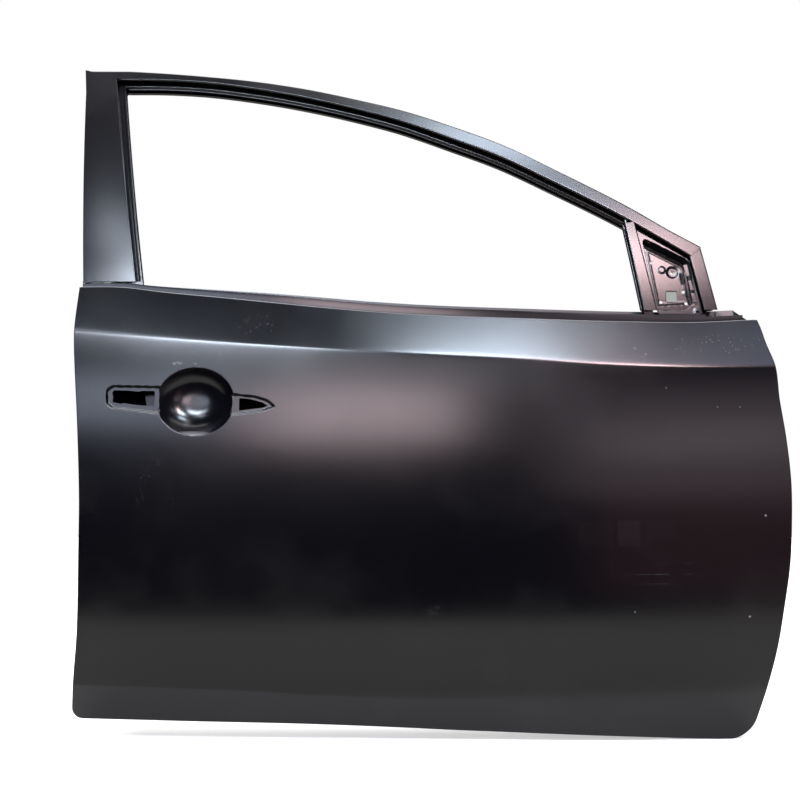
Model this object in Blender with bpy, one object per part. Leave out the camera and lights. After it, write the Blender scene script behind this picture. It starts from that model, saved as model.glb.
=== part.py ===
"""Car door shell: front side door as bare pressed steel, outer panel, inner panel,
window frame and the reinforcements between them.

Metres. +X is the vehicle's front, +Y points into the cabin, +Z is up.
The shell is modelled from its rear lower skin corner, and the empty DOOR_ORIGIN
moves it so that the middle of the lower hinge's bolting face is the origin.
"""

import math

import bmesh
import bpy
import numpy as np
from mathutils import Vector
from mathutils.geometry import delaunay_2d_cdt

# Overall sizes
DOOR_LENGTH = 1.125
SKIN_HEIGHT = 0.700
FRAME_RISE = 0.380

# Sheet thicknesses and the gap between pieces that are welded or hemmed together
SKIN_SHEET = 0.0008
INNER_SHEET = 0.0009
FRAME_SHEET = 0.0011
BRACKET_SHEET = 0.0015
HINGE_SHEET = 0.0020
SEAM = 0.0003

# Outer panel: bow along the car, belly up the door, tilt of the two folded-in bands
BOW_RADIUS = 8.0
BELLY_RADIUS = 1.5
SHOULDER_TILT = math.radians(24.0)
SILL_TILT = math.radians(20.0)
SILL_FADE = 0.25
sill_end_share = 0.80
bow_centre_share = 0.40
belly_centre_share = 0.443

# Hem round the skin's rear, bottom and front edge
HEM_RADIUS = 0.0016
HEM_WIDTH = 0.012
REAR_CORNER = 0.018
FRONT_CORNER = 0.034

# Belt ledge and flange
BELT_LEDGE = 0.006
BELT_FLANGE = 0.013
INNER_BELT_RISE = 0.020
BELT_SETBACK = 0.018

# Door handle bowl and the two stepped recesses beside it
BOWL_LENGTH = 0.122
BOWL_HEIGHT = 0.107
BOWL_DEPTH = 0.029
RECESS_DEPTH = 0.0045
RECESS_WALL = 0.0022
bowl_centre_shares = (0.1690, 0.7350)
BOWL_POWER = 2.4

# Window frame surface, measured from the skin at the belt
BELT_TO_FRAME = 0.0199
FRAME_LEAN = 0.22
FRAME_CURVE_RADIUS = 1.43
FRAME_DEPTH = 0.040
frame_foot_share = 0.971

# Window frame sections: outer face, hem lip, glass-run channel and inner box
HEADER_FACE = 0.0231
FRONT_FACE = 0.0205
DIVISION_FACE = 0.0180
division_taper_share = 0.86
HEM_RETURN = 0.0050
SASH_LIP = 0.0030
CHANNEL_INNER = 0.0195
CHANNEL_DEPTH = 0.0140
CHANNEL_WEB = 0.0036
FOLD = 0.0040
BOX_LIP = 0.0060
BOX_EDGE = 0.0020
DIVISION_DEPTH = 0.0290
REAR_BOX = 0.052
GUIDE_OUTER = 0.0042
GUIDE_LENGTH = 0.400
GUIDE_DROP = 0.330

# Cover plate of the rear post
PLATE_INSET = 0.0120
PLATE_FOOT_INSET = 0.0087
PLATE_RETURN = 0.0022
PLATE_SHEET = 0.0010

# Mirror corner
MIRROR_RIM = 0.0050
MIRROR_FLOOR = 0.0240
MIRROR_WALL = 0.0030
MIRROR_CORNER = 0.0090
MIRROR_NUT_HOLE = 0.0080
MIRROR_DIMPLE = 0.0110
MIRROR_DIMPLE_DEPTH = 0.0030
MIRROR_BOSS = 0.0070
MIRROR_ROUND = 0.0055
MIRROR_SQUARE = 0.0065
MIRROR_WINDOW = 0.0180

# Plates over the frame's joints
TIE_PLATE = 0.045

# Colour, roughness and metallic share of each finish
SKIN_COAT = ((0.030, 0.031, 0.037), 0.26, 0.0)
INNER_COAT = ((0.024, 0.024, 0.027), 0.42, 0.0)
FRAME_COAT = ((0.052, 0.044, 0.047), 0.30, 0.0)
NUT_FINISH = ((0.33, 0.31, 0.27), 0.40, 0.9)

# Weld nuts
NUT_WIDTH = 0.013
NUT_HEIGHT = 0.006
NUT_BORE = 0.006

# Hinge wall: plates behind the hinges and round the check link's opening
HINGE_PLATE = 0.096
PLATE_LIP = 0.010
TAPPED_LENGTH = 0.075
TAPPED_WIDTH = 0.028
TAPPED_PLATE = 0.006
HINGE_PITCH = 0.046
HINGE_HOLE = 0.011
HINGE_TAP = 0.0085
CHECK_PLATE = 0.062
CHECK_SLOT_WIDTH = 0.016
CHECK_SLOT_HEIGHT = 0.034
CHECK_BOLT_PITCH = 0.036
GROMMET_HOLE = 0.036
PLATE_GAP = 0.004
CUT_REACH = 0.020
upper_hinge_share = 0.702
lower_hinge_share = 0.243
check_link_share = 0.500

# Latch wall
LATCH_PLATE = 0.110
LATCH_OPENING_WIDTH = 0.046
LATCH_OPENING_HEIGHT = 0.026
LATCH_SCREW_RISE = 0.030
latch_share = 0.600

# Drain slots
DRAIN_LENGTH = 0.024
DRAIN_WIDTH = 0.007
drain_shares = (0.18, 0.50, 0.82)

# Strap behind the door handle
STRAP_HEIGHT = 0.050
strap_shares = (-1.11, -0.62, -0.50, 0.50, 0.62, 1.00)

# Side beam and its brackets
BEAM_DIAMETER = 0.027
BEAM_WALL = 0.0022
BEAM_CLEAR = 0.006
SADDLE_LENGTH = 0.050
SADDLE_TURN = 78
saddle_steps = 7
BEAM_REAR_INSET = 0.050
BEAM_FRONT_INSET = 0.041
beam_height_shares = (0.307, 0.507)
beam_steps = 16

# Bar behind the skin
STIFFENER_WIDTH = 0.052
STIFFENER_DEPTH = 0.010
stiffener_shares = (0.28, 0.84)
stiffener_height_share = 0.60
hat_fold_shares = (-0.5, -0.25, -0.15, 0.15, 0.25, 0.5)
hat_level_shares = (0.0, 0.0, 1.0, 1.0, 0.0, 0.0)

# Straps that hold the glass guides, and the bracket of the arm rest's pull
GUIDE_STRAP = 0.022
REAR_STRAP_END = 0.100
FRONT_STRAP_END = 0.104
PULL_WIDTH = 0.040
PULL_HEIGHT = 0.062
PULL_REACH = 0.022
pull_shares = (0.4110, 0.530)

# Belt rails, measured from the path of the glass
RAIL_LEVEL = 0.0010
RAIL_OFFSET = 0.0090
RAIL_HEIGHT = 0.062
INNER_RAIL_LEVEL = 0.0205
INNER_RAIL_HEIGHT = 0.072
RAIL_END = 0.030
INNER_RAIL_START = 0.060

# Inner panel
MAIN_FACE = 0.158
LEDGE_DEPTH = 0.045
LEDGE_CLEAR = 0.004
HEM_OVERLAP = 0.015
WALL_DRAFT = 0.005
REAR_WALL = 0.050
FRONT_WALL_INSET = 0.099
FRONT_WALL = DOOR_LENGTH - FRONT_WALL_INSET
FLOOR_INSET = 0.044
FLOOR_DRAFT = 0.006
BELT_BAND = 0.080
SHOULDER_BAND = 0.038
LIP_WIDTH = 0.007
LIP_DEPTH = 0.0035

TUB_CORNER = 0.028
SERVICE_CORNER = 0.040
SPEAKER_RADIUS = 0.078
CLIP_HOLE = 0.0085
REGULATOR_HOLE = 0.0070
RECESS_CORNER = 0.0045

# Mesh fineness: grid steps, and how many stations a side, an edge or a turn has
SKIN_GRID = 0.052
FACE_GRID = 0.070
side_upper_steps = 3
side_steps = 12
bottom_steps = 18
corner_steps = 5
belt_steps = 12
header_steps = 16
post_steps = 8
bowl_steps = 32
hole_steps = 12
WELD = 0.00001

# Window frame: outer corners and edges, in shares of DOOR_LENGTH and, above the skin's
# height, of FRAME_RISE
rear_corner_shares = ((0.0364, 0.9455), (-0.0196, 0.9974))
front_corner_shares = ((0.8719, 0.1316), (0.8888, 0.1721))
rear_post_foot_share = 0.0822
rear_post_top_share = 0.97
front_post_foot_share = 0.8894
header_shares = (
    (0.0364, 0.9455), (0.0889, 0.9434), (0.1586, 0.9297), (0.2360, 0.8971), (0.3130, 0.8526),
    (0.3894, 0.7966), (0.4533, 0.7413), (0.5285, 0.6576), (0.6030, 0.5689), (0.6767, 0.4589),
    (0.7756, 0.3039), (0.8719, 0.1316),
)
header_face_shares = (
    (0.0364, 0.78), (0.0889, 0.63), (0.1586, 0.54), (0.2360, 0.63), (0.3130, 0.72),
    (0.3894, 0.78), (0.4533, 0.87), (0.5285, 0.96), (0.6767, 0.93), (0.7756, 0.90),
    (0.8400, 0.90), (0.8719, 1.00),
)
division_top_share = 0.7784
division_foot_share = 0.8019

# Mirror corner, in the same shares as the window frame
mirror_rim_shares = ((0.7962, 0.2520), (0.8698, 0.1250), (0.8876, -0.1158), (0.8226, -0.1158))
mirror_floor_shares = ((0.8053, 0.2145), (0.8702, 0.1158), (0.8782, -0.0684), (0.8222, -0.0789))
mirror_nut_shares = (0.8503, 0.0824)
mirror_boss_shares = (0.8347, 0.0932)
mirror_round_shares = ((0.8094, 0.1676), (0.8317, -0.0500), (0.8685, -0.0560))
mirror_square_shares = ((0.8203, 0.1250), (0.8649, -0.0045))
mirror_window_shares = (0.8475, -0.0250)

# Plates over the frame's joints, in shares of TIE_PLATE from the corner or the post's foot
rear_patch_shares = (
    (0.80, 0.06), (0.80, 0.24), (-0.70, 0.28), (-0.80, -0.90), (-0.12, -0.90), (-0.05, 0.05),
)
front_patch_shares = (
    (-0.65, 0.50), (-0.52, 0.70), (0.30, 0.24), (0.48, -0.80), (0.25, -0.80), (0.10, 0.08),
)
rear_gusset_shares = ((-0.74, -1.45), (0.20, -1.45), (-0.20, 0.85), (-0.90, 0.85))
front_gusset_shares = ((-0.60, -1.10), (0.34, -1.10), (0.20, 0.85), (-0.08, 0.85))

# Belt rails: heights of their folds as shares of the rail, and levels as shares of its bead
rail_fold_shares = (0.06, 0.20, 0.36, 0.46, 0.72, 0.84, 1.0)
rail_level_shares = (0.0, 0.0, 1.0, 1.0, 0.1, 0.1)
inner_rail_fold_shares = (0.0, 0.20, 0.32, 0.66, 0.78, 1.0)
inner_rail_level_shares = (0.0, 0.0, 1.0, 1.0, 0.0, 0.0)

# Handle, in shares of the bowl's length and height from its centre
bowl_ring_shares = (1.0, 0.93, 0.82, 0.66, 0.46, 0.22)
rear_recess_shares = (
    (-0.5205, -0.181), (-0.5205, 0.228), (-1.080, 0.243), (-1.161, 0.170), (-1.156, -0.036),
    (-1.071, -0.101),
)
front_recess_shares = (
    (0.5205, 0.127), (0.5205, -0.208), (0.860, -0.151), (1.038, -0.073), (0.934, 0.031),
    (0.767, 0.089),
)
rear_opening_shares = ((-0.560, -0.064), (-0.560, 0.155), (-1.080, 0.168), (-1.075, -0.020))
front_opening_shares = (
    (0.560, 0.050), (0.560, -0.132), (0.870, -0.088), (0.930, -0.060), (0.858, -0.010),
    (0.703, 0.038),
)

# Inner panel: openings and holes, in shares of the door's length and the skin's height
rear_service_shares = ((0.102, 0.671), (0.356, 0.714), (0.391, 0.429), (0.320, 0.243), (0.116, 0.243))
front_service_shares = ((0.444, 0.714), (0.711, 0.686), (0.729, 0.457), (0.622, 0.343), (0.462, 0.314))
speaker_shares = (0.773, 0.236)
clip_hole_shares = (
    (0.074, 0.57), (0.074, 0.25), (0.110, 0.135), (0.300, 0.130), (0.500, 0.120), (0.665, 0.100),
    (0.875, 0.620), (0.880, 0.400), (0.160, 0.750), (0.400, 0.755), (0.600, 0.750), (0.800, 0.735),
)
regulator_shares = ((0.405, 0.640), (0.420, 0.470), (0.405, 0.285), (0.600, 0.250))

# Outlines: places along the door as shares of DOOR_LENGTH, heights as shares of SKIN_HEIGHT
rear_edge_shares = (
    (-0.040, -0.0125), (0.017, -0.0095), (0.120, -0.0028), (0.225, 0.0037), (0.284, 0.0055),
    (0.398, 0.0073), (0.511, 0.0083), (0.625, 0.0060), (0.738, 0.0017), (0.783, -0.0006),
    (0.894, -0.0050), (0.997, -0.0031), (1.060, -0.0010),
)
front_edge_shares = (
    (-0.080, 0.9400), (-0.032, 0.9480), (0.016, 0.9568), (0.088, 0.9696), (0.176, 0.9821),
    (0.281, 0.9915), (0.366, 0.9980), (0.465, 1.0003), (0.550, 1.0000), (0.653, 0.9940),
    (0.739, 0.9863), (0.824, 0.9810), (0.864, 0.9729), (0.916, 0.9640), (0.960, 0.9500),
)
bottom_edge_shares = (
    (-0.040, 0.0180), (0.000, 0.0174), (0.178, 0.0127), (0.322, 0.0086), (0.453, 0.0007),
    (0.543, -0.0066), (0.632, -0.0120), (0.776, -0.0211), (0.904, -0.0307), (1.000, -0.0335),
)
belt_shares = (
    (-0.030, 0.9966), (-0.003, 0.9966), (0.066, 0.9945), (0.107, 0.9859), (0.199, 0.9711),
    (0.453, 0.9337), (0.633, 0.9224), (0.779, 0.9160), (0.879, 0.9154), (0.957, 0.9219),
    (1.000, 0.9260),
)
crease_shares = (
    (-0.030, 0.9000), (0.179, 0.8720), (0.453, 0.8450), (0.631, 0.8310), (0.738, 0.8200),
    (0.846, 0.8140), (1.030, 0.8150),
)
sill_crease_shares = (
    (-0.030, 0.0990), (0.216, 0.0881), (0.358, 0.0746), (0.453, 0.0653), (0.560, 0.0499),
    (0.667, 0.0356), (0.761, 0.0083), (0.849, -0.0193), (1.030, -0.0700),
)


def through(shares, place, place_size, value_size):
    """Smooth curve through a table of shares: a cubic between each pair of rows,
    with the slope at a row taken from its neighbours."""
    rows = np.array(shares, float)
    xs = rows[:, 0] * place_size
    ys = rows[:, 1] * value_size
    slopes = np.gradient(ys, xs)
    place = np.clip(np.asarray(place, float), xs[0], xs[-1])
    i = np.clip(np.searchsorted(xs, place) - 1, 0, len(xs) - 2)
    step = xs[i + 1] - xs[i]
    t = (place - xs[i]) / step
    start = ys[i] * (1 + 2 * t) * (1 - t) ** 2 + slopes[i] * step * t * (1 - t) ** 2
    end = ys[i + 1] * t**2 * (3 - 2 * t) + slopes[i + 1] * step * t**2 * (t - 1)
    return start + end


def rear_edge(z):
    return through(rear_edge_shares, z, SKIN_HEIGHT, DOOR_LENGTH)


def front_edge(z):
    return through(front_edge_shares, z, SKIN_HEIGHT, DOOR_LENGTH)


def bottom_edge(x):
    return through(bottom_edge_shares, x, DOOR_LENGTH, SKIN_HEIGHT)


def belt_line(x):
    return through(belt_shares, x, DOOR_LENGTH, SKIN_HEIGHT)


def crease_line(x):
    return through(crease_shares, x, DOOR_LENGTH, SKIN_HEIGHT)


def sill_crease_line(x):
    return through(sill_crease_shares, x, DOOR_LENGTH, SKIN_HEIGHT)


def plan_bow(x):
    """The whole door bows outward along the car as a shallow arc."""
    return (x - bow_centre_share * DOOR_LENGTH) ** 2 / (2 * BOW_RADIUS)


def skin_depth(x, z):
    """Outer panel before its pressings: a belly between the two creases, then the
    shoulder and the sill band, which fold in at their own tilt."""
    x = np.asarray(x, float)
    z = np.asarray(z, float)
    upper = crease_line(x)
    lower = sill_crease_line(x)
    middle = np.clip(z, lower, upper) - belly_centre_share * SKIN_HEIGHT
    belly = middle**2 / (2 * BELLY_RADIUS)
    shoulder = np.maximum(z - upper, 0) * math.tan(SHOULDER_TILT)
    sill = np.maximum(lower - z, 0) * math.tan(SILL_TILT)
    sill = sill * np.clip((sill_end_share * DOOR_LENGTH - x) / SILL_FADE, 0, 1)
    return plan_bow(x) + belly + shoulder + sill


def frame_setback():
    """Depth of the skin's belt line, without the bow, and on to the frame's outer face."""
    x = bow_centre_share * DOOR_LENGTH
    return float(skin_depth(x, belt_line(x))) + BELT_TO_FRAME


def frame_depth(x, z):
    """Outer surface of the window frame: it leans in from the belt and curves more
    with height, and below the belt it is the path of the glass."""
    rise = z - frame_foot_share * SKIN_HEIGHT
    return plan_bow(x) + frame_setback() + FRAME_LEAN * rise + rise**2 / (2 * FRAME_CURVE_RADIUS)


def inner_belt_top(x):
    """Upper edge of the inner belt: it stands clear of the outer belt, less at the rear."""
    share = np.interp(x, (0.0, 0.30 * DOOR_LENGTH), (0.42, 1.0))
    return belt_line(x) + INNER_BELT_RISE * share


def inner_depth(x, z):
    """Cavity side of the inner panel: a flat main face, a sloped shoulder and a belt
    band that runs parallel to the glass."""
    x = np.asarray(x, float)
    z = np.asarray(z, float)
    band = inner_belt_top(x) - BELT_BAND
    reach = FRAME_DEPTH * math.hypot(1, FRAME_LEAN)
    belt = frame_depth(x, np.maximum(z, band)) + reach - INNER_SHEET
    slope = np.clip((band - z) / SHOULDER_BAND, 0, 1)
    return belt + (MAIN_FACE - belt) * slope


def clear_scene():
    for thing in list(bpy.data.objects):
        bpy.data.objects.remove(thing, do_unlink=True)


def make_material(name, colour, roughness, metallic):
    material = bpy.data.materials.new(name)
    material.use_nodes = True
    shader = material.node_tree.nodes["Principled BSDF"]
    shader.inputs["Base Color"].default_value = (*colour, 1.0)
    shader.inputs["Roughness"].default_value = roughness
    shader.inputs["Metallic"].default_value = metallic
    material.diffuse_color = (*colour, 1.0)
    return material


def face_outward(work):
    """Consistent faces, turned out where the surface is closed."""
    bmesh.ops.recalc_face_normals(work, faces=work.faces)
    if all(len(edge.link_faces) == 2 for edge in work.edges) and work.calc_volume(signed=True) < 0:
        bmesh.ops.reverse_faces(work, faces=work.faces)


def add_piece(name, points, faces, finish, origin):
    """A mesh object from points and faces, with doubles merged and round parts smooth."""
    mesh = bpy.data.meshes.new(name)
    mesh.from_pydata([tuple(map(float, p)) for p in points], [], faces)
    work = bmesh.new()
    work.from_mesh(mesh)
    bmesh.ops.remove_doubles(work, verts=work.verts, dist=WELD)
    face_outward(work)
    work.to_mesh(mesh)
    work.free()
    mesh.shade_smooth()
    mesh.set_sharp_from_angle(angle=math.radians(30))
    piece = bpy.data.objects.new(name, mesh)
    piece.data.materials.append(make_material(name, *finish))
    piece.parent = origin
    bpy.context.scene.collection.objects.link(piece)
    return piece


def face_sheet(piece, towards):
    """Turn an open surface so that its faces look, on the whole, towards a direction."""
    work = bmesh.new()
    work.from_mesh(piece.data)
    total = Vector()
    for face in work.faces:
        total += face.normal * face.calc_area()
    if total.dot(Vector(towards)) < 0:
        bmesh.ops.reverse_faces(work, faces=work.faces)
    work.to_mesh(piece.data)
    work.free()


def give_thickness(piece, thickness):
    """Sheet metal: the modelled surface keeps its place and the metal lies behind it."""
    sheet = piece.modifiers.new("sheet", "SOLIDIFY")
    sheet.thickness = thickness
    sheet.offset = -1
    sheet.use_even_offset = True
    sheet.use_quality_normals = True


def cut(piece, cutter):
    """Take a hidden closed shape out of a piece."""
    cutter.parent = piece.parent
    cutter.hide_render = True
    cutter.display_type = "WIRE"
    hole = piece.modifiers.new(cutter.name, "BOOLEAN")
    hole.operation = "DIFFERENCE"
    hole.solver = "EXACT"
    hole.object = cutter


def prism(outline, axis, start, end):
    """Points and faces of an outline carried along one axis (0 X, 1 Y, 2 Z).
    The outline holds the two other coordinates in the order X, Y, Z."""
    flat = np.asarray(outline, float)
    count = len(flat)
    near = np.insert(flat, axis, start, axis=1)
    far = np.insert(flat, axis, end, axis=1)
    sides = [(i, (i + 1) % count, count + (i + 1) % count, count + i) for i in range(count)]
    caps = [tuple(range(count)), tuple(range(2 * count - 1, count - 1, -1))]
    return np.vstack([near, far]), sides + caps


def ellipse(centre, half_length, half_height, count):
    angles = np.arange(count) * 2 * math.pi / count
    return np.column_stack([
        centre[0] + half_length * np.cos(angles),
        centre[1] + half_height * np.sin(angles),
    ])


def rounded(corners, radius, steps):
    """A closed outline with every corner rounded by a quadratic curve."""
    corners = np.asarray(corners, float)
    out = []
    for i, corner in enumerate(corners):
        before = corners[i - 1] - corner
        after = corners[(i + 1) % len(corners)] - corner
        a = corner + before * min(radius / np.linalg.norm(before), 0.45)
        b = corner + after * min(radius / np.linalg.norm(after), 0.45)
        for t in np.linspace(0, 1, steps + 1):
            out.append(a * (1 - t) ** 2 + corner * 2 * t * (1 - t) + b * t**2)
    return np.array(out)


def offset_outline(outline, distance):
    """A closed outline moved outward along its own corner directions."""
    outline = np.asarray(outline, float)
    before = outline - np.roll(outline, 1, axis=0)
    after = np.roll(outline, -1, axis=0) - outline
    before /= np.linalg.norm(before, axis=1)[:, None]
    after /= np.linalg.norm(after, axis=1)[:, None]
    along = before + after
    along /= np.linalg.norm(along, axis=1)[:, None]
    side = np.column_stack([along[:, 1], -along[:, 0]])
    spread = np.maximum(np.sum(along * before, axis=1), 0.5)
    area = np.sum(outline[:, 0] * np.roll(outline[:, 1], -1) - np.roll(outline[:, 0], -1) * outline[:, 1])
    return outline + side * (math.copysign(distance, area) / spread)[:, None]


def inside(outline, points):
    """Which points lie in a closed outline, by counting crossings."""
    points = np.asarray(points, float)
    found = np.zeros(len(points), bool)
    for a, b in zip(outline, np.roll(outline, -1, axis=0)):
        spans = (a[1] > points[:, 1]) != (b[1] > points[:, 1])
        run = (b[0] - a[0]) * (points[:, 1] - a[1]) / (b[1] - a[1] if b[1] != a[1] else 1) + a[0]
        found ^= spans & (points[:, 0] < run)
    return found


def distance_to(line, points):
    """Distance of each point from a polyline."""
    best = np.full(len(points), np.inf)
    for a, b in zip(line[:-1], line[1:]):
        run = b - a
        t = np.clip((points - a) @ run / max(run @ run, WELD**2), 0, 1)
        best = np.minimum(best, np.linalg.norm(points - a - t[:, None] * run, axis=1))
    return best


def triangulate(outline, openings, loops, lines, step, clear):
    """Flat triangles of a sheet: its outline, the openings left out of it, closed loops
    and open lines that its folds follow, and a grid of points between them."""
    groups = [np.asarray(outline)] + [np.asarray(o) for o in openings] + [np.asarray(o) for o in loops]
    points = []
    edges = []
    for group in groups:
        first = len(points)
        points += [Vector(p) for p in group]
        edges += [(first + i, first + (i + 1) % len(group)) for i in range(len(group))]
    for line in lines:
        first = len(points)
        points += [Vector(p) for p in line]
        edges += [(first + i, first + i + 1) for i in range(len(line) - 1)]
    low = np.min(outline, axis=0)
    high = np.max(outline, axis=0)
    xs = np.arange(low[0] + step / 2, high[0], step)
    zs = np.arange(low[1] + step / 2, high[1], step)
    grid = np.array([(x + step / 2 * (j % 2), z) for j, z in enumerate(zs) for x in xs])
    keep = inside(outline, grid)
    for group in groups:
        closed = np.vstack([group, group[:1]])
        keep &= distance_to(closed, grid) > clear
    for line in lines:
        keep &= distance_to(np.asarray(line), grid) > clear
    for opening in openings:
        keep &= ~inside(opening, grid)
    points += [Vector(p) for p in grid[keep]]
    spots, _, faces, *_ = delaunay_2d_cdt(points, edges, [], 0, WELD / 10)
    spots = np.array([tuple(p) for p in spots])
    faces = [tuple(face) for face in faces]
    middles = np.array([spots[list(face)].mean(axis=0) for face in faces])
    wanted = inside(outline, middles)
    for opening in openings:
        wanted &= ~inside(opening, middles)
    return spots, [face for face, good in zip(faces, wanted) if good]


class Sheet:
    """Points and faces of a pressed sheet, gathered band by band."""

    def __init__(self):
        self.points = []
        self.faces = []

    def add(self, points, faces):
        first = len(self.points)
        self.points += [tuple(p) for p in points]
        self.faces += [tuple(first + i for i in face) for face in faces]

    def band(self, rows, closed=False):
        """Quads between successive rows of equally many points."""
        rows = [np.asarray(row, float) for row in rows]
        count = len(rows[0])
        faces = []
        for r in range(len(rows) - 1):
            for i in range(count if closed else count - 1):
                j = (i + 1) % count
                faces.append((r * count + i, r * count + j, (r + 1) * count + j, (r + 1) * count + i))
        self.add(np.vstack(rows), faces)


def rim(rear, front, bottom, rear_radius, front_radius, top):
    """Points in X and Z down the rear side, round the corner, along the bottom, round the
    front corner and up the front side. Each side is a function, so that every loop has
    its stations at the same shares and neighbouring loops join into bands."""

    def side(edge, radius):
        foot = bottom(edge(0.0)) + radius
        crease = crease_line(edge(crease_shares[1][1] * SKIN_HEIGHT))
        sill = sill_crease_line(edge(sill_crease_shares[0][1] * SKIN_HEIGHT))
        upper = np.linspace(top(edge(SKIN_HEIGHT)), crease, side_upper_steps + 1)
        lower = np.linspace(crease, max(sill, foot + radius), side_steps + 1)
        return np.concatenate([upper, lower[1:], [foot]])

    rear_z = side(rear, rear_radius)
    front_z = side(front, front_radius)
    rear_points = np.column_stack([rear(rear_z), rear_z])
    front_points = np.column_stack([front(front_z), front_z])
    rear_corner = np.array([rear(bottom(rear(0.0))), bottom(rear(0.0))])
    front_corner = np.array([front(bottom(front(0.0))), bottom(front(0.0))])
    xs = np.linspace(rear_corner[0] + rear_radius, front_corner[0] - front_radius, bottom_steps + 1)
    bottom_points = np.column_stack([xs, bottom(xs)])

    def turn(a, corner, b, steps):
        t = np.linspace(0, 1, steps + 1)[1:-1, None]
        return a * (1 - t) ** 2 + corner * 2 * t * (1 - t) + b * t**2

    return np.vstack([
        rear_points,
        turn(rear_points[-1], rear_corner, bottom_points[0], corner_steps),
        bottom_points,
        turn(bottom_points[-1], front_corner, front_points[-1], corner_steps),
        front_points[::-1],
    ])


def bowl_point(shares):
    """A place given from the bowl's centre in shares of the bowl's length and height."""
    centre = np.array(bowl_centre_shares) * (DOOR_LENGTH, SKIN_HEIGHT)
    return centre + np.asarray(shares) * (BOWL_LENGTH, BOWL_HEIGHT)


def bowl_loop(share):
    return ellipse(bowl_point((0, 0)), share * BOWL_LENGTH / 2, share * BOWL_HEIGHT / 2, bowl_steps)


def recess_outlines():
    """Outer edges of the two stepped recesses beside the bowl."""
    return [
        rounded(bowl_point(rear_recess_shares), RECESS_CORNER, 2),
        rounded(bowl_point(front_recess_shares), RECESS_CORNER, 2),
    ]


def recess_openings():
    """Openings for the handle's arm and for the lock, in the floors of the recesses."""
    return [
        rounded(bowl_point(rear_opening_shares), RECESS_CORNER / 2, 2),
        rounded(bowl_point(front_opening_shares), RECESS_CORNER / 2, 2),
    ]


def handle_press(points):
    """How far the handle's bowl and recesses are pressed into the skin."""
    centre = bowl_point((0, 0))
    radius = np.hypot(
        (points[:, 0] - centre[0]) / (BOWL_LENGTH / 2),
        (points[:, 1] - centre[1]) / (BOWL_HEIGHT / 2),
    )
    depth = BOWL_DEPTH * (1 - np.minimum(radius, 1) ** BOWL_POWER)
    for outline in recess_outlines():
        closed = np.vstack([outline, outline[:1]])
        wall = np.clip(distance_to(closed, points) / RECESS_WALL, 0, 1)
        depth += np.where(inside(outline, points), RECESS_DEPTH * wall, 0)
    return depth


def skin_rim(inset, depth):
    """The skin's edge, rear top to front top, moved in by an inset and back by a depth."""
    flat = rim(
        lambda z: rear_edge(z) + inset,
        lambda z: front_edge(z) - inset,
        lambda x: bottom_edge(x) + inset,
        REAR_CORNER,
        FRONT_CORNER,
        belt_line,
    )
    return np.column_stack([flat[:, 0], skin_depth(flat[:, 0], flat[:, 1]) + depth, flat[:, 1]])


def belt_stations(rear_x, front_x):
    return np.linspace(rear_x + BELT_SETBACK, front_x - BELT_SETBACK, belt_steps + 1)


def outer_panel(finish, origin):
    """The skin: one pressing with two crease lines, the handle bowl between its stepped
    recesses, a hem folded round the inner panel and a belt ledge with its flange."""
    edge = skin_rim(HEM_RADIUS, 0)
    xs = belt_stations(edge[0, 0], edge[-1, 0])
    belt = np.column_stack([xs, belt_line(xs)])
    outline = np.vstack([edge[:, [0, 2]], belt[::-1]])

    flat = edge[:, [0, 2]]
    seat = skin_rim(HEM_OVERLAP, 0)[:, [0, 2]]
    k = side_upper_steps
    upper = np.linspace(seat[k, 0], seat[-1 - k, 0], belt_steps * 2)[1:-1]
    shoulder = np.vstack([
        flat[k],
        seat[k],
        np.column_stack([upper, crease_line(upper)]),
        seat[-1 - k],
        flat[-1 - k],
    ])
    knee = side_upper_steps + side_steps
    floor = np.arange(knee + 1 + corner_steps, knee + 1 + corner_steps + bottom_steps)
    over = sill_crease_line(seat[floor, 0]) - seat[floor, 1]
    end = floor[np.flatnonzero(over > 0)[-1]]
    lower = np.linspace(seat[knee, 0], seat[end, 0], belt_steps)[1:-1]
    sill = np.vstack([
        flat[knee],
        seat[knee],
        np.column_stack([lower, sill_crease_line(lower)]),
        seat[end],
        flat[end],
    ])

    recesses = recess_outlines()
    loops = [bowl_loop(share) for share in bowl_ring_shares]
    loops += recesses + [offset_outline(outline, -RECESS_WALL) for outline in recesses]
    spots, faces = triangulate(
        outline, recess_openings(), loops, [shoulder, sill, seat[1:-1]], SKIN_GRID, SKIN_GRID * 0.36
    )
    depth = skin_depth(spots[:, 0], spots[:, 1]) + handle_press(spots)
    sheet = Sheet()
    sheet.add(np.column_stack([spots[:, 0], depth, spots[:, 1]]), faces)

    rows = []
    for angle in np.radians((0, 45, 90, 135, 180)):
        inset = HEM_RADIUS * (1 - math.sin(angle))
        rows.append(skin_rim(inset, HEM_RADIUS * (1 - math.cos(angle))))
    rows.append(skin_rim(HEM_WIDTH, 2 * HEM_RADIUS))
    sheet.band(rows)

    skin = skin_depth(belt[:, 0], belt[:, 1])
    rise = (inner_belt_top(xs) - belt[:, 1]) / INNER_BELT_RISE
    sheet.band([
        np.column_stack([xs, skin, belt[:, 1]]),
        np.column_stack([xs, skin + BELT_LEDGE, belt[:, 1] + SKIN_SHEET]),
        np.column_stack([xs, skin + BELT_LEDGE, belt[:, 1] + SKIN_SHEET + BELT_FLANGE * rise]),
    ])
    panel = add_piece("outer_panel", sheet.points, sheet.faces, finish, origin)
    face_sheet(panel, (0, -1, 0))
    give_thickness(panel, SKIN_SHEET)
    return panel


def tub_rim(rear, front, floor_inset, corners, top, depth):
    """One loop of the tub: its sides and its floor, with the depth given by a function."""
    flat = rim(rear, front, lambda x: bottom_edge(x) + floor_inset, *corners, top)
    return np.column_stack([flat[:, 0], depth(flat), flat[:, 1]])


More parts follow.
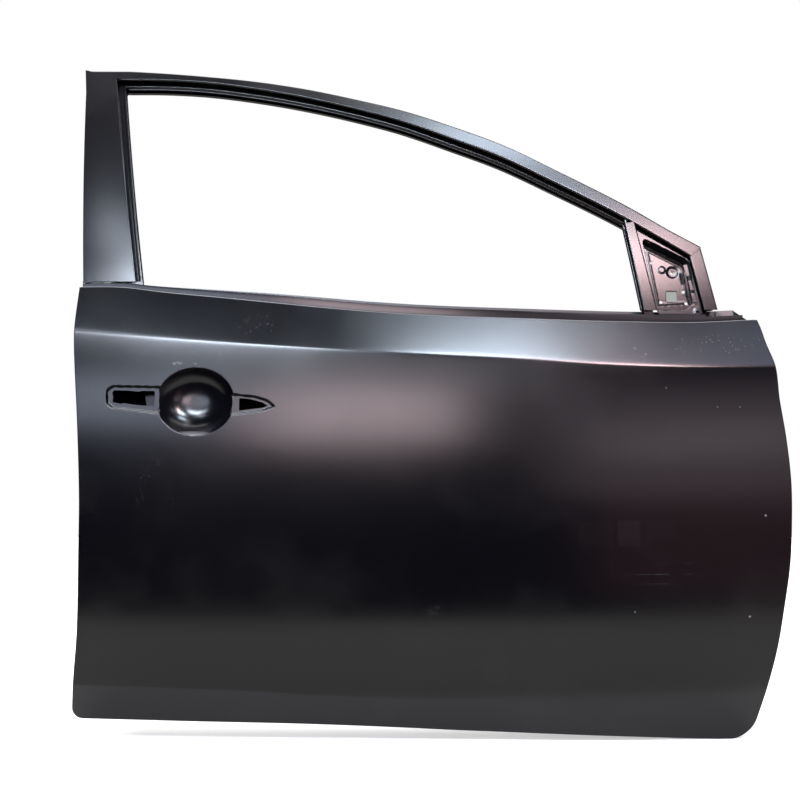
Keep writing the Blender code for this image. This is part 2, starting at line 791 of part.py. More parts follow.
def ledge_depth(flat):
    """The seal ledge keeps its distance from the skin, and stays in front of the main face."""
    x = np.clip(flat[:, 0], REAR_WALL, FRONT_WALL)
    near = skin_depth(flat[:, 0], flat[:, 1]) + LEDGE_DEPTH
    return np.minimum(near, inner_depth(x, flat[:, 1]) - LEDGE_CLEAR)


def main_face_depth(flat):
    return inner_depth(flat[:, 0], flat[:, 1])


def follow_edge(inset, top, depth):
    """A tub loop that runs parallel to the skin's edge."""
    return tub_rim(
        lambda z: rear_edge(z) + inset,
        lambda z: front_edge(z) - inset,
        inset,
        (REAR_CORNER, FRONT_CORNER),
        top,
        depth,
    )


def follow_walls(floor_inset, depth):
    """A tub loop along the upright latch and hinge walls and the floor."""
    return tub_rim(
        lambda z: REAR_WALL + 0 * z,
        lambda z: FRONT_WALL + 0 * z,
        floor_inset,
        (TUB_CORNER, TUB_CORNER),
        inner_belt_top,
        depth,
    )


def tub_rows():
    """The tub's loops from the hem inward: flange, outer wall, seal ledge, inner wall."""

    def under_hem(flat):
        return skin_depth(flat[:, 0], flat[:, 1]) + HEM_RADIUS - INNER_SHEET / 2

    def below_belt(x):
        return belt_line(x) - SKIN_SHEET

    return [
        follow_edge(HEM_RADIUS + SKIN_SHEET, below_belt, under_hem),
        follow_edge(HEM_OVERLAP, below_belt, under_hem),
        follow_edge(HEM_OVERLAP + WALL_DRAFT, inner_belt_top, ledge_depth),
        follow_walls(FLOOR_INSET, ledge_depth),
        follow_walls(FLOOR_INSET + FLOOR_DRAFT, main_face_depth),
    ]


def door_place(shares):
    """Places in X and Z from shares of the door's length and the skin's height."""
    return np.asarray(shares, float) * (DOOR_LENGTH, SKIN_HEIGHT)


def round_holes(shares, diameter):
    return [ellipse(spot, diameter / 2, diameter / 2, hole_steps) for spot in door_place(shares)]


def service_openings():
    """The two large hand openings of the inner panel and the round one for a speaker."""
    return [
        rounded(door_place(rear_service_shares), SERVICE_CORNER, 4),
        rounded(door_place(front_service_shares), SERVICE_CORNER, 4),
        ellipse(door_place(speaker_shares), SPEAKER_RADIUS, SPEAKER_RADIUS, bowl_steps),
    ]


def lip_press(points):
    """Each large opening has a rim pressed towards the cavity, with a sloped shoulder."""
    depth = np.zeros(len(points))
    for opening in service_openings():
        closed = np.vstack([opening, opening[:1]])
        near = np.clip((2 * LIP_WIDTH - distance_to(closed, points)) / LIP_WIDTH, 0, 1)
        depth -= LIP_DEPTH * near
    return depth


def inner_panel(finish, origin):
    """The tub: one deep-drawn pressing, open at the belt, whose outer flange lies in the
    skin's hem. It carries the seal ledge, the latch and hinge walls and the main face."""
    rows = tub_rows()
    wall = rows[-1]
    xs = np.linspace(wall[0, 0], wall[-1, 0], belt_steps + 1)[1:-1]
    outline = np.vstack([wall[:, [0, 2]], np.column_stack([xs, inner_belt_top(xs)])[::-1]])
    folds = []
    for drop in (BELT_BAND, BELT_BAND + SHOULDER_BAND):
        line_x = np.linspace(REAR_WALL + SHOULDER_BAND / 2, FRONT_WALL - SHOULDER_BAND / 2, belt_steps)
        folds.append(np.column_stack([line_x, inner_belt_top(line_x) - drop]))
    loops = []
    for opening in service_openings():
        loops += [offset_outline(opening, LIP_WIDTH), offset_outline(opening, 2 * LIP_WIDTH)]
    openings = service_openings() + round_holes(clip_hole_shares, CLIP_HOLE)
    openings += round_holes(regulator_shares, REGULATOR_HOLE)
    spots, faces = triangulate(outline, openings, loops, folds, FACE_GRID, FACE_GRID * 0.2)
    depth = inner_depth(spots[:, 0], spots[:, 1]) + lip_press(spots)

    sheet = Sheet()
    sheet.add(np.column_stack([spots[:, 0], depth, spots[:, 1]]), faces)
    sheet.band(rows)
    panel = add_piece("inner_panel", sheet.points, sheet.faces, finish, origin)
    face_sheet(panel, (0, -1, 0))
    give_thickness(panel, INNER_SHEET)
    return panel


def frame_place(shares):
    """Places in X and Z from shares of the door's length and of the frame's rise."""
    return np.asarray(shares, float) * (DOOR_LENGTH, FRAME_RISE) + (0, SKIN_HEIGHT)


def frame_points(flat, level):
    """Points at a level inboard of the frame's outer surface, square to it."""
    flat = np.asarray(flat, float)
    x = flat[..., 0]
    z = flat[..., 1]
    along = (x - bow_centre_share * DOOR_LENGTH) / BOW_RADIUS
    up = FRAME_LEAN + (z - frame_foot_share * SKIN_HEIGHT) / FRAME_CURVE_RADIUS
    square = level / np.sqrt(1 + along**2 + up**2)
    return np.stack([x - along * square, frame_depth(x, z) + square, z - up * square], axis=-1)


def sheet_outline(line, thickness):
    """Closed outline of folded sheet from its centre line, with mitred folds."""
    line = np.asarray(line, float)
    run = np.diff(line, axis=0)
    run /= np.linalg.norm(run, axis=1)[:, None]
    before = np.vstack([run[:1], run])
    after = np.vstack([run, run[-1:]])
    along = before + after
    along /= np.linalg.norm(along, axis=1)[:, None]
    side = np.column_stack([-along[:, 1], along[:, 0]])
    spread = np.sum(along * before, axis=1)
    shift = side * (thickness / 2 / spread)[:, None]
    return np.vstack([line + shift, (line - shift)[::-1]])


def loft(name, sections, finish, origin):
    """A solid from closed sections of equally many points, one after the other, with caps."""
    sections = [np.asarray(section, float) for section in sections]
    count = len(sections[0])
    sheet = Sheet()
    sheet.band(sections, closed=True)
    sheet.faces += [tuple(range(count)), tuple(range((len(sections) - 1) * count, len(sections) * count))]
    return add_piece(name, sheet.points, sheet.faces, finish, origin)


def sash_line(face, level, channel, box, depth):
    """Centre line of a roll-formed sash: hem behind the outer face, the face itself, the
    glass-run channel, a fold, and the box towards the cabin with its lip."""
    fold = CHANNEL_INNER + FOLD
    back = depth - FRAME_SHEET / 2
    lip = min(BOX_LIP, (back - fold) / 2)
    return [
        (HEM_RETURN, level + SASH_LIP),
        (0, level + SASH_LIP),
        (0, level),
        (face, level),
        (face, level + SASH_LIP),
        (channel, level + SASH_LIP),
        (channel, CHANNEL_INNER),
        (0, CHANNEL_INNER),
        (0, fold),
        (box, fold),
        (box, back),
        (BOX_EDGE, back),
        (BOX_EDGE, back - lip),
    ]


def along_frame(name, path, sides, outlines, finish, origin, level_end=None):
    """A section carried along a path on the frame surface. Each station has its place,
    the direction in which its first coordinate runs, and its own outline. The station
    named as the level end is cut off at one height."""
    sections = []
    for spot, side, outline in zip(path, sides, outlines):
        flat = np.asarray(spot) + outline[:, :1] * np.asarray(side)
        sections.append(frame_points(flat, outline[:, 1]))
    if level_end is not None:
        end = sections[level_end]
        run = sections[1 if level_end == 0 else -2] - end
        sections[level_end] = end + run * ((path[level_end][1] - end[:, 2]) / run[:, 2])[:, None]
    return loft(name, sections, finish, origin)


def path_sides(path, first=None, last=None):
    """Directions square to a path, to its left, scaled to keep widths at its bends.
    A given direction at an end makes a mitre there."""
    run = np.diff(path, axis=0)
    run /= np.linalg.norm(run, axis=1)[:, None]
    before = np.vstack([run[:1], run])
    after = np.vstack([run, run[-1:]])
    along = before + after
    along /= np.linalg.norm(along, axis=1)[:, None]
    sides = np.column_stack([-along[:, 1], along[:, 0]])
    sides /= np.sum(along * before, axis=1)[:, None]
    for end, given, step in ((0, first, run[0]), (-1, last, run[-1])):
        if given is not None:
            square = np.array([-step[1], step[0]])
            sides[end] = np.asarray(given) / np.dot(given, square)
    return sides


def header_path():
    """Window-side edge of the header, rear corner to front corner."""
    shares = np.linspace(header_shares[0][0], header_shares[-1][0], header_steps + 1)
    rise = through(header_shares, shares * DOOR_LENGTH, DOOR_LENGTH, FRAME_RISE)
    return np.column_stack([shares * DOOR_LENGTH, SKIN_HEIGHT + rise])


def header_height(x):
    return SKIN_HEIGHT + through(header_shares, x, DOOR_LENGTH, FRAME_RISE)


def upper_sash(finish, origin):
    """Header of the window frame: roll-formed and bent to the roof line, mitred to both
    posts. Its face is narrowest near the rear and widens forward."""
    path = header_path()
    faces = HEADER_FACE * through(header_face_shares, path[:, 0], DOOR_LENGTH, 1.0)
    rear_inner, rear_outer = frame_place(rear_corner_shares)
    front_inner, front_outer = frame_place(front_corner_shares)
    sides = path_sides(path, rear_outer - rear_inner, front_outer - front_inner)
    path[0, 0] += SEAM
    path[-1] += (path[-2] - path[-1]) * SEAM / np.linalg.norm(path[-2] - path[-1])
    outlines = []
    for face in faces:
        line = sash_line(face, FRAME_SHEET / 2, face - CHANNEL_WEB, face, FRAME_DEPTH)
        outlines.append(sheet_outline(line, FRAME_SHEET))
    return along_frame("upper_sash", path, sides, outlines, finish, origin)


def post_foot():
    """Height at which the frame's posts end, just above the inner belt's upper edge."""
    xs = np.linspace(0, rear_post_foot_share * DOOR_LENGTH, 9)
    return float(np.max(inner_belt_top(xs))) + SEAM


def rear_post_path():
    """Window-side edge of the rear post, foot to corner."""
    top = frame_place(rear_corner_shares)[0]
    foot = np.array([rear_post_foot_share * DOOR_LENGTH, post_foot()])
    return foot + (top - foot) * np.linspace(0, 1, post_steps + 1)[:, None]


def rear_post_face(path):
    """Width of the rear post from its window-side edge to the cover plate's rear edge."""
    inner, outer = frame_place(rear_corner_shares)
    top_width = np.linalg.norm(outer - inner) * rear_post_top_share
    foot_width = path[0, 0] - rear_edge(path[0, 1]) - HEM_RADIUS
    share = (path[:, 1] - path[0, 1]) / (path[-1, 1] - path[0, 1])
    return foot_width + (top_width - foot_width) * share


def rear_post_sides(path):
    inner, outer = frame_place(rear_corner_shares)
    return path_sides(path, (-1, 0), outer - inner)


def rear_sash(finish, origin):
    """Rear post of the window frame, with the glass-run channel towards the window."""
    path = rear_post_path()
    faces = rear_post_face(path) - PLATE_SHEET * 3
    sides = rear_post_sides(path)
    path[-1, 1] -= SEAM
    level = PLATE_SHEET + SEAM + FRAME_SHEET / 2
    outlines = []
    for face in faces:
        line = sash_line(face, level, CHANNEL_DEPTH, REAR_BOX, FRAME_DEPTH)
        outlines.append(sheet_outline(line, FRAME_SHEET))
    return along_frame("rear_sash", path, sides, outlines, finish, origin, 0)


def rear_post_plate(finish, origin):
    """Flat outer cover of the rear post, its long edges turned in, ending above the belt."""
    path = rear_post_path()
    faces = rear_post_face(path)
    sides = rear_post_sides(path)
    path[-1, 1] -= SEAM
    near = np.linspace(PLATE_FOOT_INSET, PLATE_INSET, len(path))
    level = PLATE_SHEET / 2
    outlines = []
    for inset, face in zip(near, faces):
        line = [(inset, level), (face - level, level), (face - level, level + PLATE_RETURN)]
        outlines.append(sheet_outline(line, PLATE_SHEET))
    return along_frame("rear_post_plate", path, sides, outlines, finish, origin, 0)


def front_sash(finish, origin):
    """Front post of the window frame, from the mitred corner down to the belt."""
    top = frame_place(front_corner_shares)
    foot_x = front_post_foot_share * DOOR_LENGTH
    above = inner_belt_top(np.linspace(foot_x, foot_x + FRONT_FACE, 5))
    foot = np.array([foot_x, float(np.max(above)) + SEAM])
    path = top[0] + (foot - top[0]) * np.linspace(0, 1, 5)[:, None]
    sides = path_sides(path, top[1] - top[0], (1, 0))
    path[0] += (path[1] - path[0]) * SEAM / np.linalg.norm(path[1] - path[0])
    line = sash_line(FRONT_FACE, FRAME_SHEET / 2, CHANNEL_DEPTH, FRONT_FACE, FRAME_DEPTH)
    outlines = [sheet_outline(line, FRAME_SHEET)] * len(path)
    return along_frame("front_sash", path, sides, outlines, finish, origin, -1)


def division_path():
    """Window-side edge of the division bar, header to belt."""
    top_x = division_top_share * DOOR_LENGTH
    foot_x = division_foot_share * DOOR_LENGTH
    top = np.array([top_x, float(header_height(top_x)) - 2 * FRAME_SHEET])
    foot = np.array([foot_x, float(inner_belt_top(foot_x)) + 2 * SEAM])
    return top + (foot - top) * np.linspace(0, 1, 7)[:, None]


def division_sash(finish, origin):
    """Upright bar between the window and the mirror corner, widening towards the belt."""
    path = division_path()
    ahead = path[0, 0] + DIVISION_FACE
    slope = (ahead - path[0, 0], float(header_height(ahead) - header_height(path[0, 0])))
    sides = path_sides(path, slope, (1, 0))
    outlines = []
    for share in np.linspace(division_taper_share, 2 - division_taper_share, len(path)):
        face = DIVISION_FACE * share
        line = sash_line(face, FRAME_SHEET / 2, face - CHANNEL_WEB, face, DIVISION_DEPTH)
        outlines.append(sheet_outline(line, FRAME_SHEET))
    return along_frame("division_sash", path, sides, outlines, finish, origin, -1)


def guide_path(above, below, drop):
    """Line of a glass guide inside the door, going on from the sash above it."""
    run = (below - above) / np.linalg.norm(below - above)
    return below + run * (np.linspace(0, drop, 6) + SEAM)[:, None]


def glass_guide(name, path, sign, finish, origin):
    """Plain channel below the belt in which the edge of the glass runs."""
    line = [
        (0, GUIDE_OUTER), (CHANNEL_DEPTH, GUIDE_OUTER),
        (CHANNEL_DEPTH, CHANNEL_INNER - 2 * SEAM), (0, CHANNEL_INNER - 2 * SEAM),
    ]
    outline = sheet_outline(line, FRAME_SHEET)
    sides = path_sides(path, (1, 0)) * sign
    return along_frame(name, path, sides, [outline] * len(path), finish, origin, 0)


def rail(name, xs, section, sheet, finish, origin):
    """A pressed rail along the door: its section is a centre line in Y and Z at each X."""
    sections = []
    for x in xs:
        outline = sheet_outline(section(float(x)), sheet)
        sections.append(np.insert(outline, 0, x, axis=1))
    return loft(name, sections, finish, origin)


def outer_belt_reinforcement(finish, origin):
    """Pressed rail inside the skin's belt flange, with one deep bead below it."""

    def section(x):
        belt = float(belt_line(x))
        top = belt + BELT_FLANGE * (float(inner_belt_top(x)) - belt) / INNER_BELT_RISE
        half = BRACKET_SHEET / 2
        flange = float(skin_depth(x, belt)) + BELT_LEDGE + SKIN_SHEET + SEAM + half
        line = [(flange, top), (flange, belt - rail_fold_shares[0] * RAIL_HEIGHT)]
        for share, level in zip(rail_fold_shares[1:], rail_level_shares):
            z = belt - share * RAIL_HEIGHT
            line.append((float(frame_depth(x, z)) + RAIL_LEVEL - level * RAIL_OFFSET, z))
        return line

    xs = np.linspace(RAIL_END, front_post_foot_share * DOOR_LENGTH, belt_steps + 1)
    return rail("outer_belt_reinforcement", xs, section, BRACKET_SHEET, finish, origin)


def inner_belt_reinforcement(finish, origin):
    """Hat-section rail on the cavity side of the inner panel's belt band."""

    def section(x):
        top = float(inner_belt_top(x)) - SEAM
        reach = FRAME_DEPTH * math.hypot(1, FRAME_LEAN)
        back = reach - INNER_SHEET - 2 * SEAM - BRACKET_SHEET / 2
        near = INNER_RAIL_LEVEL + BRACKET_SHEET / 2
        line = []
        for share, level in zip(inner_rail_fold_shares, inner_rail_level_shares):
            z = top - share * INNER_RAIL_HEIGHT
            line.append((float(frame_depth(x, z)) + back - level * (back - near), z))
        return line

    xs = np.linspace(INNER_RAIL_START, front_post_foot_share * DOOR_LENGTH, belt_steps + 1)
    return rail("inner_belt_reinforcement", xs, section, BRACKET_SHEET, finish, origin)


def frame_sheet(name, outline, holes, loops, level, thickness, step, finish, origin):
    """Sheet that lies on the frame surface, its level inboard given by a function. The
    metal lies on the outer side of that level."""
    spots, faces = triangulate(outline, holes, loops, [], step, step * 0.35)
    piece = add_piece(name, frame_points(spots, level(spots)), faces, finish, origin)
    face_sheet(piece, (0, 1, 0))
    give_thickness(piece, thickness)
    return piece


def mirror_panel(finish, origin):
    """Pan that fills the mirror corner: rim, drafted wall and sunk floor with a dished
    seat for the mirror's nut, a boss and openings."""
    floor = rounded(frame_place(mirror_floor_shares), MIRROR_CORNER, 4)
    wall = offset_outline(floor, MIRROR_WALL)
    edge = rounded(frame_place(mirror_rim_shares), MIRROR_CORNER / 3, 2)
    nut = frame_place(mirror_nut_shares)
    boss = frame_place(mirror_boss_shares)
    holes = [ellipse(nut, MIRROR_NUT_HOLE / 2, MIRROR_NUT_HOLE / 2, hole_steps)]
    for spot in frame_place(mirror_round_shares):
        holes.append(ellipse(spot, MIRROR_ROUND / 2, MIRROR_ROUND / 2, 8))
    for spot in frame_place(mirror_square_shares):
        holes.append(ellipse(spot, MIRROR_SQUARE / 2, MIRROR_SQUARE / 2, 4))
    half = MIRROR_WINDOW / 2
    corners = np.array([(-half, -half), (half, -half), (half, half), (-half, half)])
    holes.append(rounded(frame_place(mirror_window_shares) + corners, MIRROR_ROUND / 3, 1))
    rings = [
        floor,
        wall,
        ellipse(nut, MIRROR_DIMPLE * 0.62, MIRROR_DIMPLE * 0.62, hole_steps),
        ellipse(nut, MIRROR_DIMPLE, MIRROR_DIMPLE, hole_steps),
        ellipse(boss, MIRROR_BOSS, MIRROR_BOSS, hole_steps),
        ellipse(boss, MIRROR_BOSS / 2, MIRROR_BOSS / 2, hole_steps),
    ]

    def level(spots):
        closed = np.vstack([wall, wall[:1]])
        sunk = np.clip(distance_to(closed, spots) / MIRROR_WALL, 0, 1) * inside(wall, spots)
        from_nut = np.linalg.norm(spots - nut, axis=1) / MIRROR_DIMPLE
        from_boss = np.linalg.norm(spots - boss, axis=1) / MIRROR_BOSS
        dish = MIRROR_DIMPLE_DEPTH * np.clip((1 - from_nut) / 0.38, 0, 1)
        dish -= MIRROR_DIMPLE_DEPTH / 2 * np.clip((1 - from_boss) * 2, 0, 1)
        return MIRROR_RIM + (MIRROR_FLOOR - MIRROR_RIM) * sunk + dish

    return frame_sheet(
        "mirror_panel", edge, holes, rings, level, FRAME_SHEET, MIRROR_WINDOW * 1.5, finish, origin
    )


def tie_plate(name, corners, gap, finish, origin):
    """Flat plate on the cabin side of the frame's box that ties two pieces together."""
    outline = rounded(corners, BOX_LIP, 2)
    level = FRAME_DEPTH + gap + BRACKET_SHEET
    holes = [ellipse(np.mean(corners, axis=0), CLIP_HOLE / 2, CLIP_HOLE / 2, hole_steps)]
    return frame_sheet(
        name, outline, holes, [], lambda spots: np.full(len(spots), level), BRACKET_SHEET,
        TIE_PLATE / 2, finish, origin,
    )


def tie_plates(finish, origin):
    """Plates over the two mitred corners, and the two gussets that carry the frame's
    posts on the inner panel's belt band."""
    rear = frame_place(rear_corner_shares)[0]
    corners = rear + TIE_PLATE * np.array(rear_patch_shares)
    tie_plate("rear_mitre_patch", corners, SEAM, finish, origin)
    front = frame_place(front_corner_shares)[0]
    corners = front + TIE_PLATE * np.array(front_patch_shares)
    tie_plate("front_mitre_patch", corners, SEAM, finish, origin)
    post = np.array([rear_post_foot_share * DOOR_LENGTH, post_foot()])
    corners = post + TIE_PLATE * np.array(rear_gusset_shares)
    tie_plate("rear_frame_gusset", corners, 2 * SEAM, finish, origin)
    foot_x = front_post_foot_share * DOOR_LENGTH
    post = np.array([foot_x, float(inner_belt_top(foot_x))])
    corners = post + TIE_PLATE * np.array(front_gusset_shares)
    tie_plate("front_frame_gusset", corners, 2 * SEAM, finish, origin)


def ring(name, rows, finish, origin):
    """A solid with a hole through it: four closed rows, two outside and two inside."""
    sheet = Sheet()
    sheet.band(list(rows) + [rows[0]], closed=True)
    return add_piece(name, sheet.points, sheet.faces, finish, origin)


def hexagon(width):
    """Six flats across a width, with a point in the middle of each flat."""
    angles = np.arange(12) * math.pi / 6
    radius = np.where(np.arange(12) % 2, width / 2, width / 2 / math.cos(math.pi / 6))
    return np.column_stack([radius * np.cos(angles), radius * np.sin(angles)])


def weld_nuts(finish, origin):
    """Weld nuts for the window regulator, on the cavity side of the main face, and the
    mirror's nut behind the dished seat of the mirror panel."""
    outer = hexagon(NUT_WIDTH)
    inner = ellipse((0, 0), NUT_BORE / 2, NUT_BORE / 2, 12)
    for number, spot in enumerate(door_place(regulator_shares), 1):
        near = MAIN_FACE - SEAM
        rows = [
            np.insert(outer + spot, 1, near, axis=1),
            np.insert(outer + spot, 1, near - NUT_HEIGHT, axis=1),
            np.insert(inner + spot, 1, near - NUT_HEIGHT, axis=1),
            np.insert(inner + spot, 1, near, axis=1),
        ]
        ring(f"regulator_nut_{number}", rows, finish, origin)
    spot = frame_place(mirror_nut_shares)
    near = MIRROR_FLOOR + MIRROR_DIMPLE_DEPTH + SEAM
    shapes = [(outer, near), (outer, near + NUT_HEIGHT), (inner, near + NUT_HEIGHT), (inner, near)]
    ring("mirror_nut", [frame_points(shape + spot, level) for shape, level in shapes], finish, origin)


def wall_span(edge, z, half):
    """Depths between which a plate fits on an upright wall of the tub."""
    heights = np.array([z - half, z + half])
    ledge = float(np.max(skin_depth(edge(heights), heights))) + LEDGE_DEPTH
    return ledge + 4 * HINGE_SHEET, MAIN_FACE - 4 * HINGE_SHEET


def wall_channel(name, wall, towards, span, z, half, sheet, finish, origin):
    """A plate welded on the cavity side of an upright wall, with a lip along each side."""
    face = wall + towards * (SEAM + sheet / 2)
    tip = face + towards * PLATE_LIP
    line = [(tip, span[0]), (face, span[0]), (face, span[1]), (tip, span[1])]
    points, faces = prism(sheet_outline(line, sheet), 2, z - half, z + half)
    return add_piece(name, points, faces, finish, origin)


def closed_shapes(name, prisms):
    """One hidden cutter made of several separate prisms."""
    sheet = Sheet()
    for points, faces in prisms:
        sheet.add(points, faces)
    mesh = bpy.data.meshes.new(name)
    mesh.from_pydata([tuple(map(float, p)) for p in sheet.points], [], sheet.faces)
    work = bmesh.new()
    work.from_mesh(mesh)
    face_outward(work)
    work.to_mesh(mesh)
    work.free()
    shape = bpy.data.objects.new(name, mesh)
    bpy.context.scene.collection.objects.link(shape)
    return shape


def bore(place, diameter, wall):
    """A round cutter along X through an upright wall, at a place in Y and Z."""
    outline = ellipse(place, diameter / 2, diameter / 2, hole_steps)
    return prism(outline, 0, wall - CUT_REACH, wall + CUT_REACH)


def box_cut(centre, length, height, wall):
    """A cutter with rounded corners along X through an upright wall."""
    corners = np.array([(-1, -1), (1, -1), (1, 1), (-1, 1)]) * (length / 2, height / 2)
    outline = rounded(corners + centre, min(length, height) / 3, 2)
    return prism(outline, 0, wall - CUT_REACH, wall + CUT_REACH)


def hinge_side(panel, finish, origin):
    """Hinge wall: a reinforcement and a tapped plate behind each hinge, and the plate
    round the check link's opening between them."""
    wall_cuts = []
    for name, share in (("upper", upper_hinge_share), ("lower", lower_hinge_share)):
        z = share * SKIN_HEIGHT
        span = wall_span(front_edge, z, HINGE_PLATE / 2)
        middle = sum(span) / 2
        plate = wall_channel(
            f"{name}_hinge_reinforcement", FRONT_WALL, -1, span, z, HINGE_PLATE / 2,
            HINGE_SHEET, finish, origin,
        )
        near = FRONT_WALL - 2 * SEAM - HINGE_SHEET
        half = (TAPPED_LENGTH / 2, TAPPED_WIDTH / 2)
        corners = np.array([(-1, -1), (1, -1), (1, 1), (-1, 1)]) * (half[1], half[0])
        outline = rounded(corners + (middle, z), HINGE_SHEET, 2)
        points, faces = prism(outline, 0, near - TAPPED_PLATE, near)
        tapped = add_piece(f"{name}_hinge_tapped_plate", points, faces, finish, origin)
        spots = [(middle, z - HINGE_PITCH / 2), (middle, z + HINGE_PITCH / 2)]
        holes = [bore(spot, HINGE_HOLE, FRONT_WALL) for spot in spots]
        cut(plate, closed_shapes(f"{name}_hinge_plate_cut", holes))
        taps = [bore(spot, HINGE_TAP, FRONT_WALL) for spot in spots]
        cut(tapped, closed_shapes(f"{name}_hinge_tap_cut", taps))
        wall_cuts += holes
    z = check_link_share * SKIN_HEIGHT
    span = wall_span(front_edge, z, CHECK_PLATE / 2)
    middle = sum(span) / 2
    check = wall_channel(
        "check_link_reinforcement", FRONT_WALL, -1, span, z, CHECK_PLATE / 2,
        BRACKET_SHEET, finish, origin,
    )
    slot = [box_cut((middle, z), CHECK_SLOT_WIDTH, CHECK_SLOT_HEIGHT, FRONT_WALL)]
    slot += [
        bore((middle + side * CHECK_BOLT_PITCH / 2, z), CLIP_HOLE, FRONT_WALL) for side in (-1, 1)
    ]
    cut(check, closed_shapes("check_link_cut", slot))
    below_hinge = upper_hinge_share * SKIN_HEIGHT - (HINGE_PLATE + GROMMET_HOLE) / 2
    grommet = bore((middle, below_hinge - PLATE_GAP), GROMMET_HOLE, FRONT_WALL)
    cut(panel, closed_shapes("hinge_wall_cut", wall_cuts + slot + [grommet]))


def latch_side(panel, finish, origin):
    """Latch wall: the striker's opening with three screw holes, and its plate."""
    z = latch_share * SKIN_HEIGHT
    span = wall_span(rear_edge, z, LATCH_PLATE / 2)
    middle = sum(span) / 2
    plate = wall_channel(
        "latch_reinforcement", REAR_WALL, 1, span, z, LATCH_PLATE / 2, BRACKET_SHEET,
        finish, origin,
    )
    cuts = [box_cut((middle, z), LATCH_OPENING_WIDTH, LATCH_OPENING_HEIGHT, REAR_WALL)]
    for side, rise in ((-1, 1), (-1, -1), (1, -1)):
        spot = (middle + side * LATCH_OPENING_WIDTH / 2, z + rise * LATCH_SCREW_RISE)
        cuts.append(bore(spot, CLIP_HOLE, REAR_WALL))
    cut(plate, closed_shapes("latch_plate_cut", cuts))
    cut(panel, closed_shapes("latch_wall_cut", cuts))


def drain_slots(panel):
    """Slots in the lowest wall of the tub, where water leaves it."""
    prisms = []
    for share in drain_shares:
        x = share * DOOR_LENGTH
        z = float(bottom_edge(x)) + HEM_OVERLAP
        near = float(skin_depth(x, z)) + LEDGE_DEPTH * 0.4
        corners = [
            (x - DRAIN_LENGTH / 2, near), (x + DRAIN_LENGTH / 2, near),
            (x + DRAIN_LENGTH / 2, near + DRAIN_WIDTH), (x - DRAIN_LENGTH / 2, near + DRAIN_WIDTH),
        ]
        outline = rounded(corners, DRAIN_WIDTH / 3, 2)
        prisms.append(prism(outline, 2, z - CUT_REACH / 2, z + CUT_REACH))
    cut(panel, closed_shapes("drain_cut", prisms))


def handle_reinforcement(finish, origin):
    """Strap that holds the door handle: its ends lie behind the recess floors, its middle
    passes behind the bowl. It leans as the skin does."""
    centre = bowl_point((0, 0))
    floor = RECESS_DEPTH + SKIN_SHEET + 2 * SEAM + BRACKET_SHEET / 2
    behind = BOWL_DEPTH + SKIN_SHEET + 2 * SEAM + BRACKET_SHEET / 2
    sections = []
    for z in np.linspace(centre[1] - STRAP_HEIGHT / 2, centre[1] + STRAP_HEIGHT / 2, 3):
        line = []
        for share, depth in zip(strap_shares, (floor, floor, behind, behind, floor, floor)):
            x = centre[0] + share * BOWL_LENGTH
            base = skin_depth(x, z) if depth == floor else skin_depth(centre[0], z)
            line.append((x, float(base) + depth))
        sections.append(np.insert(sheet_outline(line, BRACKET_SHEET), 2, z, axis=1))
    strap = loft("handle_reinforcement", sections, finish, origin)
    near = float(skin_depth(*centre))
    prisms = []
    for outline in recess_openings():
        prisms.append(prism(offset_outline(outline, BRACKET_SHEET), 1, near, near + 2 * BOWL_DEPTH))
    cut(strap, closed_shapes("handle_strap_cut", prisms))
    return strap


def beam_ends():
    """Middle of the side beam's tube at its rear and front end."""
    ends = []
    xs = (REAR_WALL + BEAM_REAR_INSET, FRONT_WALL - BEAM_FRONT_INSET)
    for x, share in zip(xs, beam_height_shares):
        z = share * SKIN_HEIGHT
        clear = SKIN_SHEET + BEAM_CLEAR + BEAM_DIAMETER / 2
        ends.append(np.array([x, float(skin_depth(x, z)) + clear, z]))
    return ends


def side_beam(finish, origin):
    """Intrusion tube across the door, low at the rear, with a saddle bracket at each end."""
    rear, front = beam_ends()
    run = (front - rear) / np.linalg.norm(front - rear)
    up = np.array([0, 0, 1.0]) - run * run[2]
    up /= np.linalg.norm(up)
    side = np.cross(run, up)
    angles = np.arange(beam_steps) * 2 * math.pi / beam_steps
    rows = []
    for radius, end in (
        (BEAM_DIAMETER / 2, rear),
        (BEAM_DIAMETER / 2, front),
        (BEAM_DIAMETER / 2 - BEAM_WALL, front),
        (BEAM_DIAMETER / 2 - BEAM_WALL, rear),
    ):
        rows.append(end + radius * (np.cos(angles)[:, None] * up + np.sin(angles)[:, None] * side))
    ring("side_beam", rows, finish, origin)
    for name, end, along, wall, edge in (
        ("rear", rear, run, REAR_WALL, rear_edge), ("front", front, -run, FRONT_WALL, front_edge),
    ):
        beam_bracket(f"side_beam_{name}_bracket", end, along, wall, edge, finish, origin)


